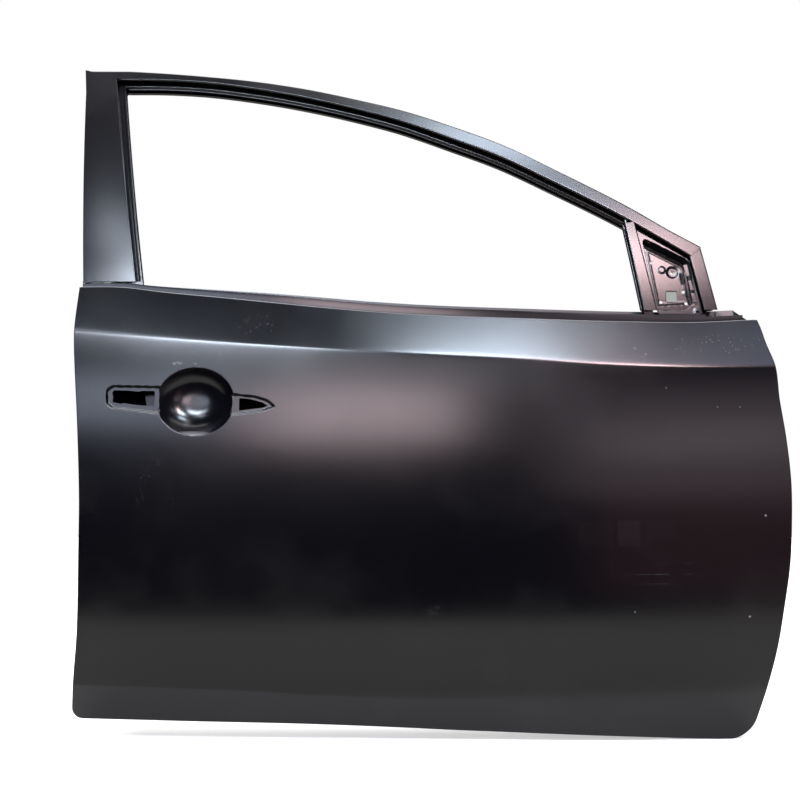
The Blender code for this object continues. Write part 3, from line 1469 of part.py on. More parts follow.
def beam_bracket(name, end, along, wall, edge, finish, origin):
    """Pressed bracket: a saddle over the end of the tube that flattens out into a flange
    on the seal ledge."""
    angles = np.radians(np.linspace(-SADDLE_TURN, SADDLE_TURN, saddle_steps))
    half_step = (angles[1] - angles[0]) / 2
    radius = (BEAM_DIAMETER / 2 + SEAM + BRACKET_SHEET) / math.cos(half_step)
    across = np.concatenate([[-2 * radius], radius * np.sin(angles), [2 * radius]])
    saddle = np.concatenate([
        [radius * math.cos(angles[0])], radius * np.cos(angles), [radius * math.cos(angles[0])]
    ])
    outer = float(edge(end[2]))
    inset = HEM_OVERLAP + WALL_DRAFT + BRACKET_SHEET * 2
    tip = outer + math.copysign(inset, wall - outer)
    near = wall + (tip - wall) * 0.1
    rows = []
    for x, flat in (
        (end[0] + along[0] * SADDLE_LENGTH, 0.0), (end[0] + along[0] * BRACKET_SHEET, 0.0),
        (end[0] + (near - end[0]) * 0.35, 0.3), (end[0] + (near - end[0]) * 0.7, 0.75),
        (near, 1.0), (tip, 1.0),
    ):
        share = (x - end[0]) / along[0]
        middle = end + along * share
        z = middle[2] + across
        curved = middle[1] + saddle
        seat = skin_depth(x, z) + LEDGE_DEPTH - 2 * SEAM
        rows.append(np.column_stack([np.full(len(z), x), curved + (seat - curved) * flat, z]))
    sheet = Sheet()
    sheet.band(rows)
    bracket = add_piece(name, sheet.points, sheet.faces, finish, origin)
    face_sheet(bracket, (0, 1, 0))
    give_thickness(bracket, BRACKET_SHEET)
    return bracket


def skin_stiffener(finish, origin):
    """Hat-section bar bonded behind the skin, half way up, so that it does not drum."""
    xs = np.linspace(*(np.array(stiffener_shares) * DOOR_LENGTH), belt_steps + 1)
    middle = stiffener_height_share * SKIN_HEIGHT
    bond = SKIN_SHEET * 1.5 + 3 * SEAM

    def section(x):
        line = []
        for share, level in zip(hat_fold_shares, hat_level_shares):
            z = middle + share * STIFFENER_WIDTH
            line.append((float(skin_depth(x, z)) + bond + level * STIFFENER_DEPTH, z))
        return line

    return rail("skin_stiffener", xs, section, SKIN_SHEET, finish, origin)


def guide_bracket(name, path, sign, wall, z, end, finish, origin):
    """Strap from an upright wall of the tub to the back of a glass guide."""
    half = BRACKET_SHEET / 2
    sections = []
    for height in (z - GUIDE_STRAP / 2, z + GUIDE_STRAP / 2):
        share = (height - path[0, 1]) / (path[-1, 1] - path[0, 1])
        x = path[0, 0] + (path[-1, 0] - path[0, 0]) * share
        run = (path[-1] - path[0]) / np.linalg.norm(path[-1] - path[0])
        web = x + sign * ((CHANNEL_DEPTH + FRAME_SHEET / 2) / abs(run[1]) + SEAM + half)
        level = float(frame_depth(x, height)) + (GUIDE_OUTER + CHANNEL_INNER) / 2
        foot = wall - math.copysign(SEAM + half, wall - x)
        line = [(web, level - CHANNEL_DEPTH / 4), (web, level), (foot, level), (foot, end)]
        sections.append(np.insert(sheet_outline(line, BRACKET_SHEET), 2, height, axis=1))
    return loft(name, sections, finish, origin)


def pull_handle_bracket(finish, origin):
    """Stepped bracket on the cabin side of the main face, for the arm rest's pull."""
    x, z = door_place(pull_shares)
    foot = MAIN_FACE + INNER_SHEET + SEAM + BRACKET_SHEET / 2
    line = [
        (foot, z), (foot, z + PULL_HEIGHT * 0.4),
        (foot + PULL_REACH, z + PULL_HEIGHT * 0.6), (foot + PULL_REACH, z + PULL_HEIGHT),
    ]
    outline = sheet_outline(line, BRACKET_SHEET)
    points, faces = prism(outline, 0, x - PULL_WIDTH / 2, x + PULL_WIDTH / 2)
    bracket = add_piece("pull_handle_bracket", points, faces, finish, origin)
    holes = []
    for share in (0.2, 0.8):
        outline = ellipse((x, z + PULL_HEIGHT * share), CLIP_HOLE / 2, CLIP_HOLE / 2, hole_steps)
        holes.append(prism(outline, 1, MAIN_FACE, MAIN_FACE + 2 * PULL_REACH))
    cut(bracket, closed_shapes("pull_bracket_cut", holes))
    return bracket


def door_origin():
    """Centre of the lower hinge's bolting face on the front wall."""
    z = lower_hinge_share * SKIN_HEIGHT
    span = wall_span(front_edge, z, HINGE_PLATE / 2)
    return Vector((FRONT_WALL + INNER_SHEET, sum(span) / 2, z))


def build():
    clear_scene()
    origin = bpy.data.objects.new("DOOR_ORIGIN", None)
    bpy.context.scene.collection.objects.link(origin)
    origin.location = -door_origin()

    outer_panel(SKIN_COAT, origin)
    panel = inner_panel(INNER_COAT, origin)
    hinge_side(panel, INNER_COAT, origin)
    latch_side(panel, INNER_COAT, origin)
    drain_slots(panel)

    upper_sash(FRAME_COAT, origin)
    rear_sash(FRAME_COAT, origin)
    rear_post_plate(FRAME_COAT, origin)
    front_sash(FRAME_COAT, origin)
    division_sash(FRAME_COAT, origin)
    mirror_panel(FRAME_COAT, origin)
    tie_plates(FRAME_COAT, origin)

    post = rear_post_path()
    rear_guide = guide_path(post[1], post[0], GUIDE_LENGTH)
    glass_guide("rear_lower_sash", rear_guide, -1, INNER_COAT, origin)
    height = float(np.min(rear_guide[:, 1])) + GUIDE_STRAP
    guide_bracket(
        "rear_guide_bracket", rear_guide, -1, REAR_WALL, height, REAR_STRAP_END, INNER_COAT, origin
    )
    bar = division_path()
    front_guide = guide_path(bar[0], bar[-1], GUIDE_DROP)
    glass_guide("front_lower_sash", front_guide, 1, INNER_COAT, origin)
    above_check = (CHECK_PLATE + GUIDE_STRAP) / 2 + PLATE_GAP
    height = check_link_share * SKIN_HEIGHT + above_check
    guide_bracket(
        "front_guide_bracket", front_guide, 1, FRONT_WALL, height, FRONT_STRAP_END, INNER_COAT, origin
    )

    outer_belt_reinforcement(INNER_COAT, origin)
    inner_belt_reinforcement(INNER_COAT, origin)
    handle_reinforcement(INNER_COAT, origin)
    side_beam(INNER_COAT, origin)
    skin_stiffener(INNER_COAT, origin)
    pull_handle_bracket(INNER_COAT, origin)
    weld_nuts(NUT_FINISH, origin)


build()
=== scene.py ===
"""Bare right front car door shell in satin black primer, standing for a studio picture.

The skin's depth is the sum of a shallow arc along the car, a rounder arc up the door, and
two straight tilts that start at the shoulder crease and the sill crease with a small
radius. The handle's bowl is pressed in by one minus a power of the distance from its
centre. The window frame lies on a surface that leans in from the belt and curves more
with height; every sash is a folded section carried along a path on that surface.
"""
import math

import bpy
import numpy as np
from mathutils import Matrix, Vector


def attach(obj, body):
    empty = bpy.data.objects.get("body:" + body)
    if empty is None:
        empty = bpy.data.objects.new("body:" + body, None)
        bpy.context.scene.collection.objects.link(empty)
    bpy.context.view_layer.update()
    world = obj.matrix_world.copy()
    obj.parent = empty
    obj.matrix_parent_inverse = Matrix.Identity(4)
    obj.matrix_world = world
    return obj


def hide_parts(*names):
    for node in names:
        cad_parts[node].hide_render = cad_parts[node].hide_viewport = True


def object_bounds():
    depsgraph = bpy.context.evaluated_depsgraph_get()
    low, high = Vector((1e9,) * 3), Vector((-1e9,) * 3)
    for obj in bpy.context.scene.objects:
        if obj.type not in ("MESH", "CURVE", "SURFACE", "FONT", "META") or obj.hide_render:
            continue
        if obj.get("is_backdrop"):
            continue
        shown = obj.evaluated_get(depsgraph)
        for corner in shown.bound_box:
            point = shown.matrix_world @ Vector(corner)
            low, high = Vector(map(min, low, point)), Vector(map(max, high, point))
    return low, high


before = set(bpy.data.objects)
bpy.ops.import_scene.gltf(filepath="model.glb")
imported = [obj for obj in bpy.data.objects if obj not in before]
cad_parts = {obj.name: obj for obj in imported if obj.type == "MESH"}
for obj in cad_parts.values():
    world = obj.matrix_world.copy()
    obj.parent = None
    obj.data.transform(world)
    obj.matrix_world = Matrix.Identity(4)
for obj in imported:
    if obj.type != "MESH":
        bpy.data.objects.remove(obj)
low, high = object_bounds()
loaded_box = [list(map(float, low)), list(map(float, high))]


# Satin black dip primer
# Every pressed panel carries the same baked coat: a dark binder with a fine orange peel,
# handling smudges and a few hair scratches. On the skin, faces that look up are painted
# lighter: dust there, and a painted highlight of the light from above.
# Colour of the dust, also used for the painted highlight on faces that look up.
DUST_AND_HIGHLIGHT = (0.20, 0.19, 0.185, 1.0)
DUST_ROUGHNESS = 0.9
PRIMER_IOR = 1.52
PEEL_HEIGHT = 0.0002
PEEL_NOISE = (420.0, 2.0)
SMEAR_NOISE = (7.0, 6.0)
SMEAR_BAND = (0.52, 0.74)
HAIR_NOISE = (60.0, 3.0, (0.06, 0.06, 1.0))
HAIR_BAND = (0.72, 0.80)
SPECK_BAND = (0.76, 0.80)
SHEEN_NOISE = (3.0, 4.0)
SHEEN_BAND = (0.35, 0.70)
SHEEN_SPREAD = (-0.02, 0.04)
# Band of the normal's height over which faces that look up get the painted highlight.
UPWARD_HIGHLIGHT_BAND = (0.79, 0.86)
SQUARE_FADE = (1.0, 0.9)
ROUND_FADE = (1.0, 0.4)
DOT_BAND = (0.24, 0.12)
GRAIN_DETAIL = 5.0
GRAIN_BAND = (0.47, 0.62)


def primer(name, colour, rough, smudge, scratch, peel, marks=(), upward_dust_and_highlight=0.0):
    """Baked coat. Its dust is the sum of smears, hair scratches, specks, marks, and a
    ramp over the normal's height that paints faces that look up lighter, as dust and as a
    painted highlight. The colour runs from the coat's to the dust's with that sum, and the
    roughness is a slow noise plus a share of the sum."""
    material = bpy.data.materials.new(name)
    material.use_nodes = True
    tree = material.node_tree
    nodes, links = tree.nodes, tree.links
    shader = nodes["Principled BSDF"]
    source = nodes.new("ShaderNodeTexCoord")
    place = source.outputs["Object"]

    def noise(scale, detail, stretch=(1.0, 1.0, 1.0)):
        """Noise over the object's place, drawn out along an axis of small stretch."""
        turned = nodes.new("ShaderNodeMapping")
        turned.inputs["Scale"].default_value = stretch
        links.new(place, turned.inputs["Vector"])
        pattern = nodes.new("ShaderNodeTexNoise")
        pattern.inputs["Scale"].default_value = scale
        pattern.inputs["Detail"].default_value = detail
        links.new(turned.outputs["Vector"], pattern.inputs["Vector"])
        return pattern.outputs["Fac"]

    def band(value, start, end, least, most):
        """Straight ramp from least to most as the value goes from start to end."""
        step = nodes.new("ShaderNodeMapRange")
        step.inputs["From Min"].default_value = start
        step.inputs["From Max"].default_value = end
        step.inputs["To Min"].default_value = least
        step.inputs["To Max"].default_value = most
        links.new(value, step.inputs["Value"])
        return step.outputs["Result"]

    def joined(a, b, operation="ADD"):
        """One operation on two values, each of them a number or a socket."""
        result = nodes.new("ShaderNodeMath")
        result.operation = operation
        for value, socket in ((a, result.inputs[0]), (b, result.inputs[1])):
            if isinstance(value, float):
                socket.default_value = value
            else:
                links.new(value, socket)
        return result.outputs["Value"]

    def mark(x, z, half_width, half_height, grain, amount, kind):
        """Amount that fades with the distance from a place, measured in half sizes: the
        larger of the two for a square, and their root of squares for the other kinds.
        Dots multiply it by round cells, specks by noise, and a fill by nothing."""
        spot = nodes.new("ShaderNodeMapping")
        spot.inputs["Location"].default_value = (-x / half_width, 0.0, -z / half_height)
        spot.inputs["Scale"].default_value = (1 / half_width, 0.0, 1 / half_height)
        links.new(place, spot.inputs["Vector"])
        reach = nodes.new("ShaderNodeVectorMath")
        reach.operation = "ABSOLUTE" if kind == "square" else "LENGTH"
        links.new(spot.outputs["Vector"], reach.inputs[0])
        if kind == "square":
            sides = nodes.new("ShaderNodeSeparateXYZ")
            links.new(reach.outputs["Vector"], sides.inputs["Vector"])
            far = joined(sides.outputs["X"], sides.outputs["Z"], "MAXIMUM")
            around = band(far, *SQUARE_FADE, 0.0, amount)
        else:
            around = band(reach.outputs["Value"], *ROUND_FADE, 0.0, amount)
        if kind == "dots":
            cells = nodes.new("ShaderNodeTexVoronoi")
            cells.inputs["Scale"].default_value = grain
            links.new(place, cells.inputs["Vector"])
            grains = band(cells.outputs["Distance"], *DOT_BAND, 0.0, 1.0)
        elif kind == "speck":
            grains = band(noise(grain, GRAIN_DETAIL), *GRAIN_BAND, 0.0, 1.0)
        else:
            grains = 1.0
        return joined(around, grains, "MULTIPLY")

    smears = band(noise(*SMEAR_NOISE), *SMEAR_BAND, 0.0, smudge)
    hairs = band(noise(*HAIR_NOISE), *HAIR_BAND, 0.0, scratch / 3)
    specks = band(noise(*PEEL_NOISE), *SPECK_BAND, 0.0, scratch)
    dust_and_highlight = joined(joined(smears, hairs), specks)
    # Faces that look up are painted lighter: dust on them, and a painted highlight.
    if upward_dust_and_highlight:
        normal = nodes.new("ShaderNodeSeparateXYZ")
        links.new(source.outputs["Normal"], normal.inputs["Vector"])
        dust_and_highlight = joined(dust_and_highlight, band(normal.outputs["Z"], *UPWARD_HIGHLIGHT_BAND, 0.0, upward_dust_and_highlight))
    for row in marks:
        dust_and_highlight = joined(dust_and_highlight, mark(*row))
    mix = nodes.new("ShaderNodeMix")
    mix.data_type = "RGBA"
    mix.inputs["A"].default_value = (*colour, 1.0)
    mix.inputs["B"].default_value = DUST_AND_HIGHLIGHT
    links.new(dust_and_highlight, mix.inputs["Factor"])
    links.new(mix.outputs["Result"], shader.inputs["Base Color"])
    least, most = (rough + spread for spread in SHEEN_SPREAD)
    sheen = band(noise(*SHEEN_NOISE), *SHEEN_BAND, least, most)
    rougher = joined(sheen, joined(dust_and_highlight, DUST_ROUGHNESS, "MULTIPLY"))
    links.new(rougher, shader.inputs["Roughness"])
    shader.inputs["IOR"].default_value = PRIMER_IOR
    bump = nodes.new("ShaderNodeBump")
    bump.inputs["Strength"].default_value = peel
    bump.inputs["Distance"].default_value = PEEL_HEIGHT
    links.new(noise(*PEEL_NOISE), bump.inputs["Height"])
    links.new(bump.outputs["Normal"], shader.inputs["Normal"])
    return material


# Each mark on the skin: place in X and Z, half width, half height, scale of its grain,
# amount of dust, and kind.
skin_marks = (
    (-0.921, 0.199, 0.011, 0.032, 300.0, 0.13, "dots"),
    (-0.899, 0.249, 0.014, 0.012, 300.0, 0.18, "dots"),
    (-0.912, 0.230, 0.014, 0.017, 300.0, 0.13, "dots"),
    (-0.880, 0.218, 0.018, 0.020, 300.0, 0.11, "dots"),
    (-0.873, 0.188, 0.014, 0.020, 300.0, 0.11, "dots"),
    (-0.996, 0.172, 0.013, 0.016, 300.0, 0.10, "dots"),
    (-0.462, 0.020, 0.018, 0.011, 160.0, 0.04, "speck"),
    (-0.366, -0.078, 0.026, 0.034, 120.0, 0.03, "speck"),
    (0.006, 0.262, 0.075, 0.056, 240.0, 0.030, "dots"),
    (0.000, 0.434, 0.130, 0.026, 150.0, 0.13, "dots"),
    (-0.110, 0.426, 0.080, 0.020, 90.0, 0.08, "dots"),
    (-0.743, 0.464, 0.060, 0.034, 120.0, 0.05, "dots"),
    (0.056, 0.166, 0.0022, 0.0022, 0.0, 1.0, "fill"),
    (0.032, 0.007, 0.0026, 0.0020, 0.0, 1.0, "fill"),
    (-0.150, 0.016, 0.0015, 0.0022, 0.0, 0.5, "fill"),
    (-0.018, 0.336, 0.0012, 0.0012, 0.0, 0.6, "fill"),
    (0.018, 0.336, 0.0012, 0.0012, 0.0, 0.6, "fill"),
    (-0.099, 0.366, 0.0011, 0.0011, 0.0, 0.6, "fill"),
    (-0.100, 0.075, 0.085, 0.0009, 40.0, 0.10, "speck"),
    (-0.080, 0.092, 0.050, 0.0007, 40.0, 0.08, "speck"),
    (-0.120, 0.060, 0.040, 0.0007, 40.0, 0.08, "speck"),
    (-0.866, 0.404, 0.010, 0.004, 300.0, 0.30, "speck"),
    (-0.838, 0.403, 0.004, 0.0025, 300.0, 0.40, "speck"),
    (-0.799, 0.420, 0.002, 0.005, 300.0, 0.30, "speck"),
    (-0.160, 0.139, 0.0185, 0.021, 0.0, 0.014, "square"),
    (-0.212, 0.139, 0.028, 0.020, 0.0, 0.005, "square"),
    (-0.110, 0.143, 0.022, 0.017, 0.0, 0.003, "square"),
    (-0.186, 0.102, 0.0010, 0.026, 120.0, 0.10, "speck"),
)
# The skin's faces that look up get the painted highlight as well as dust.
skin_coat = primer(
    "skin_coat", colour=(0.0016, 0.0017, 0.0028), rough=0.185, smudge=0.02, scratch=0.06,
    peel=0.04, marks=skin_marks, upward_dust_and_highlight=0.8,
)
inner_coat = primer(
    "inner_coat", colour=(0.0075, 0.0075, 0.0085), rough=0.36, smudge=0.08, scratch=0.12,
    peel=0.06,
)
# The strap and the channels behind the skin lie in the dark. Their coat is darker than the
# inner panel's and has no dust: a painted shade.
painted_shade_coat = primer(
    "painted_shade_coat", colour=(0.0015, 0.0015, 0.0018), rough=0.22, smudge=0.0, scratch=0.0,
    peel=0.0,
)
frame_coat = primer(
    "frame_coat", colour=(0.0050, 0.0046, 0.0056), rough=0.23, smudge=0.03, scratch=0.02,
    peel=0.0,
)
# The pieces that come with the frame get the same coats, and the weld nuts keep theirs.
for name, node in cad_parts.items():
    if name == "outer_panel":
        coat = skin_coat
    # The strap and the lower channels take the darker coat, a painted shade.
    elif name.endswith("lower_sash") or name == "handle_reinforcement":
        coat = painted_shade_coat
    elif name.endswith(("sash", "plate", "patch", "gusset")) or name == "mirror_panel":
        coat = frame_coat
    else:
        coat = inner_coat
    if "nut" not in name:
        node.data.materials.clear()
        node.data.materials.append(coat)


# Outer skin
# One steel pressing, 0.8 mm: shoulder crease, sill crease, handle bowl and recesses,
# hemmed round the inner panel on three sides and flanged along the belt.
HINGE = np.array([1.0269, 0.12078, 0.1701])
LENGTH = 1.125
HEIGHT = 0.700
BOW = 8.0
BOW_CENTRE = 0.40
BELLY = 1.5
BELLY_HEIGHT = 0.443
SHOULDER = math.tan(math.radians(24.0))
SILL = math.tan(math.radians(20.0))
SILL_FADE = 0.25
SILL_FADE_END = 0.80
SILL_LEAST = 0.02
CREASE_RADIUS = 0.0022
HEM = 0.0016
HEM_WIDTH = 0.012
HEM_STEPS = 9
REAR_CORNER = 0.018
FRONT_CORNER = 0.034
BELT_FLANGE = 0.013
BELT_SETBACKS = (0.00225, 0.018)
BELT_STATIONS = 160
FRONT_BELT = 0.93
BELT_LEDGE_PROFILE = (
    (0.0, 0.0, 0.0), (0.0020, 0.0006, 0.0), (0.0050, 0.0008, 0.0), (0.0068, 0.0008, 0.0),
    (0.0068, -0.0010, 0.0),
)
BELT_FLANGE_PROFILE = (
    (0.0050, 0.0008, 0.0), (0.0058, 0.0012, 0.0), (0.0060, 0.0022, 0.0), (0.0060, 0.0008, 1.0),
    (0.0068, 0.0008, 1.0), (0.0068, 0.0008, 0.0),
)
BOWL = (0.122, 0.107)
BOWL_DEPTH = 0.029
BOWL_POWER = 3.0
RECESS_DEPTH = 0.0045
RECESS_WALL = 0.0036
RECESS_CORNER = 0.0045
OPENING_CORNER = 0.0022
HANDLE_COLUMNS = (9, 66)
HANDLE_MIDDLE = 40
HANDLE_HEIGHTS = (0.447, 0.583)
HANDLE_GRID = (321, 171)
SKIN_COLUMNS = 231
SKIN_ROWS = (16, 96, 22)
SHARP = math.radians(38)
ROUND_REACH = 0.45
OPENING_PULL = 0.75
# Each pair: a share of the height and one of the length for the rear and front edges, and
# the other way round for the lines along the door. The flange's pairs end in a share of
# its full rise, and those of the handle are shares of the bowl's width and height.
belt_rise_shares = ((0.0, 0.42), (0.30, 1.0), (0.60, 0.90), (0.80, 0.66))
rear_shares = (
    (-0.040, -0.0125), (0.017, -0.0095), (0.120, -0.0028), (0.225, 0.0037), (0.284, 0.0055),
    (0.398, 0.0073), (0.511, 0.0083), (0.625, 0.0060), (0.738, 0.0017), (0.783, -0.0006),
    (0.894, -0.0050), (0.997, -0.0031), (1.060, -0.0010),
)
front_shares = (
    (-0.080, 0.9400), (-0.032, 0.9480), (0.016, 0.9568), (0.088, 0.9696), (0.176, 0.9821),
    (0.281, 0.9915), (0.366, 0.9980), (0.465, 1.0003), (0.550, 1.0000), (0.653, 0.9940),
    (0.739, 0.9863), (0.824, 0.9810), (0.864, 0.9729), (0.916, 0.9640), (0.960, 0.9500),
)
bottom_shares = (
    (-0.040, 0.0180), (0.000, 0.0174), (0.178, 0.0127), (0.322, 0.0086), (0.453, 0.0007),
    (0.543, -0.0066), (0.632, -0.0120), (0.776, -0.0211), (0.904, -0.0307), (1.000, -0.0335),
)
belt_shares = (
    (-0.030, 0.9966), (-0.003, 0.9966), (0.066, 0.9945), (0.107, 0.9859), (0.199, 0.9711),
    (0.453, 0.9337), (0.633, 0.9224), (0.779, 0.9160), (0.879, 0.9154), (0.957, 0.9219),
    (1.000, 0.9260),
)
crease_shares = (
    (-0.030, 0.9000), (0.179, 0.8720), (0.453, 0.8450), (0.631, 0.8310), (0.738, 0.8200),
    (0.846, 0.8140), (1.030, 0.8150),
)
sill_shares = (
    (-0.030, 0.0990), (0.216, 0.0881), (0.358, 0.0746), (0.453, 0.0653), (0.560, 0.0499),
    (0.667, 0.0356), (0.761, 0.0083), (0.849, -0.0193), (1.030, -0.0700),
)
bowl_centre = np.array([0.1690 * LENGTH, 0.7350 * HEIGHT])
rear_recess_shares = (
    (-0.4400, -0.190), (-0.4400, 0.228), (-1.080, 0.243), (-1.161, 0.170), (-1.156, -0.036),
    (-1.071, -0.101),
)
front_recess_shares = (
    (0.4400, 0.127), (0.4400, -0.214), (0.860, -0.151), (1.038, -0.073), (0.934, 0.031),
    (0.767, 0.089),
)
rear_opening_shares = (
    (-0.528, -0.068), (-0.528, 0.155), (-0.700, 0.158), (-0.730, 0.146), (-0.860, 0.160),
    (-1.062, 0.168), (-1.084, 0.120), (-1.066, 0.080), (-1.075, -0.010), (-0.960, -0.034),
    (-0.930, -0.022), (-0.760, -0.052),
)
front_opening_shares = (
    (0.560, 0.050), (0.560, -0.132), (0.870, -0.088), (0.930, -0.060), (0.858, -0.010),
    (0.703, 0.038),
)


def through(shares, place, place_size, value_size):
    """Smooth curve through knots: a cubic between each two, whose slope at a knot is that
    of the parabola through it and its neighbours. Past the ends it stays level."""
    rows = np.array(shares, float)
    xs = rows[:, 0] * place_size
    ys = rows[:, 1] * value_size
    slopes = np.gradient(ys, xs)
    place = np.clip(np.asarray(place, float), xs[0], xs[-1])
    i = np.clip(np.searchsorted(xs, place) - 1, 0, len(xs) - 2)
    step = xs[i + 1] - xs[i]
    t = (place - xs[i]) / step
    start = ys[i] * (1 + 2 * t) * (1 - t) ** 2 + slopes[i] * step * t * (1 - t) ** 2
    end = ys[i + 1] * t**2 * (3 - 2 * t) + slopes[i + 1] * step * t**2 * (t - 1)
    return start + end


def rear_edge(z):
    return through(rear_shares, z, HEIGHT, LENGTH)


def front_edge(z):
    return through(front_shares, z, HEIGHT, LENGTH)


def bottom_edge(x):
    return through(bottom_shares, x, LENGTH, HEIGHT)


def belt_line(x):
    return through(belt_shares, x, LENGTH, HEIGHT)


def crease_line(x):
    return through(crease_shares, x, LENGTH, HEIGHT)


def sill_line(x):
    return through(sill_shares, x, LENGTH, HEIGHT)


def plan_bow(x):
    """Square of the distance from the bow's centre, over twice its radius."""
    return (x - BOW_CENTRE * LENGTH) ** 2 / (2 * BOW)


def ramp(distance, radius):
    """Half of the distance plus its root of squares with the radius: nought on one side,
    the distance on the other, and a hyperbola between them."""
    return (distance + np.sqrt(distance**2 + radius**2)) / 2


def skin_depth(x, z):
    """Bow along the door, plus a parabola in the height within the two creases, plus the
    two tilts past them. The lower tilt fades out towards the front."""
    upper = crease_line(x)
    lower = sill_line(x)
    over = ramp(z - upper, CREASE_RADIUS)
    under = ramp(lower - z, CREASE_RADIUS)
    middle = z - over + under - BELLY_HEIGHT * HEIGHT
    fade = np.clip((SILL_FADE_END * LENGTH - x) / SILL_FADE, 0, 1)
    return plan_bow(x) + middle**2 / (2 * BELLY) + over * SHOULDER + under * SILL * fade


def rounded(corners, radius, steps):
    """Closed outline whose corners become parabolas, from a point at the radius before
    the corner to one at the radius after it, but never past a share of the side."""
    corners = np.asarray(corners, float)
    before = np.roll(corners, 1, axis=0) - corners
    after = np.roll(corners, -1, axis=0) - corners
    sizes = [np.linalg.norm(way, axis=1) for way in (before, after)]
    reach = np.minimum(np.minimum(*sizes) * ROUND_REACH, radius)[:, None]
    start = corners + before / sizes[0][:, None] * reach
    end = corners + after / sizes[1][:, None] * reach
    t = np.linspace(0, 1, steps + 1)[:, None, None]
    arcs = start * (1 - t) ** 2 + corners * 2 * t * (1 - t) + end * t**2
    return arcs.transpose(1, 0, 2).reshape(-1, 2)


def to_outline(outline, spots):
    """Signed distance to a closed outline, positive inside, and the nearest place on it.
    A spot is inside when a level line from it crosses the outline an odd number of
    times."""
    best = np.full(len(spots), np.inf)
    nearest = np.zeros_like(spots)
    crossings = np.zeros(len(spots), bool)
    for p, q in zip(outline, np.roll(outline, -1, axis=0)):
        run = q - p
        t = np.clip(((spots - p) @ run) / (run @ run), 0, 1)[:, None]
        foot = p + t * run
        gap = np.linalg.norm(spots - foot, axis=1)
        closer = gap < best
        best = np.where(closer, gap, best)
        nearest[closer] = foot[closer]
        spans = (p[1] > spots[:, 1]) != (q[1] > spots[:, 1])
        rise = q[1] - p[1] if q[1] != p[1] else 1.0
        crossings ^= spans & (spots[:, 0] < p[0] + (spots[:, 1] - p[1]) / rise * run[0])
    return np.where(crossings, best, -best), nearest


def surface(name, points, faces, coat):
    """A mesh from numpy arrays, moved from the skin's corner to the hinge's face."""
    mesh = bpy.data.meshes.new(name)
    points = np.asarray(points, np.float32) - HINGE.astype(np.float32)
    mesh.vertices.add(len(points))
    mesh.vertices.foreach_set("co", points.ravel())
    count = faces.shape[1]
    mesh.loops.add(faces.size)
    mesh.loops.foreach_set("vertex_index", faces.astype(np.int32).ravel())
    mesh.polygons.add(len(faces))
    mesh.polygons.foreach_set("loop_start", np.arange(0, faces.size, count, dtype=np.int32))
    mesh.update(calc_edges=True)
    mesh.validate()
    mesh.shade_smooth()
    mesh.set_sharp_from_angle(angle=SHARP)
    piece = bpy.data.objects.new(name, mesh)
    piece.data.materials.append(coat)
    bpy.context.scene.collection.objects.link(piece)
    return piece


def grid_faces(rows, columns, first=0):
    """Corner numbers of a grid's cells, row after row."""
    index = first + np.arange(rows * columns).reshape(rows, columns)
    corners = (index[:-1, :-1], index[:-1, 1:], index[1:, 1:], index[1:, :-1])
    return np.stack(corners, axis=-1).reshape(-1, 4)


def eased(count):
    """Shares from nought to one by half a cosine, closer together at both ends."""
    return (1 - np.cos(np.linspace(0, math.pi, count))) / 2


def corner_inset(height, radius):
    """How far a rounded lower corner pulls the side in, at a height over the bottom: the
    radius, less the root of its square without that of the height still to go."""
    left = np.clip(radius - height, 0, radius)
    return radius - np.sqrt(radius**2 - left**2)


def skin_place(u, v, inset=0.0):
    """Place in X and Z from two shares: along the door between its edges, and up it from
    the bottom to the sill crease, the shoulder crease and the belt, one for each band.
    As edges and bands lean on each other, the place is worked out three times."""
    x = u * LENGTH
    for _ in range(3):
        lowest = bottom_edge(x) + inset
        sill = np.maximum(sill_line(x), lowest + SILL_LEAST)
        knots = (lowest, sill, crease_line(x), belt_line(x))
        z = np.where(v < 1, knots[0] + v * (knots[1] - knots[0]), 0)
        z = np.where((v >= 1) & (v < 2), knots[1] + (v - 1) * (knots[2] - knots[1]), z)
        z = np.where(v >= 2, knots[2] + (v - 2) * (knots[3] - knots[2]), z)
        rear = rear_edge(z) + inset + corner_inset(z - lowest, REAR_CORNER)
        front = front_edge(z) - inset - corner_inset(z - lowest, FRONT_CORNER)
        x = rear + u * (front - rear)
    return x, z


recesses, openings = (
    [rounded(bowl_centre + np.array(shares) * BOWL, corner, steps=6) for shares in pair]
    for pair, corner in (
        ((rear_recess_shares, front_recess_shares), RECESS_CORNER),
        ((rear_opening_shares, front_opening_shares), OPENING_CORNER),
    )
)


def handle_press(spots):
    """The bowl's depth is one minus a power of the distance in half sizes. A recess is
    pressed to its own depth by a smooth step over its wall, and the deeper one counts."""
    radius = np.hypot(*((spots - bowl_centre) / (BOWL[0] / 2, BOWL[1] / 2)).T)
    depth = BOWL_DEPTH * (1 - np.minimum(radius, 1) ** BOWL_POWER)
    for outline in recesses:
        wall = np.clip(to_outline(outline, spots)[0] / RECESS_WALL, 0, 1)
        depth = np.maximum(depth, RECESS_DEPTH * wall**2 * (3 - 2 * wall))
    return depth


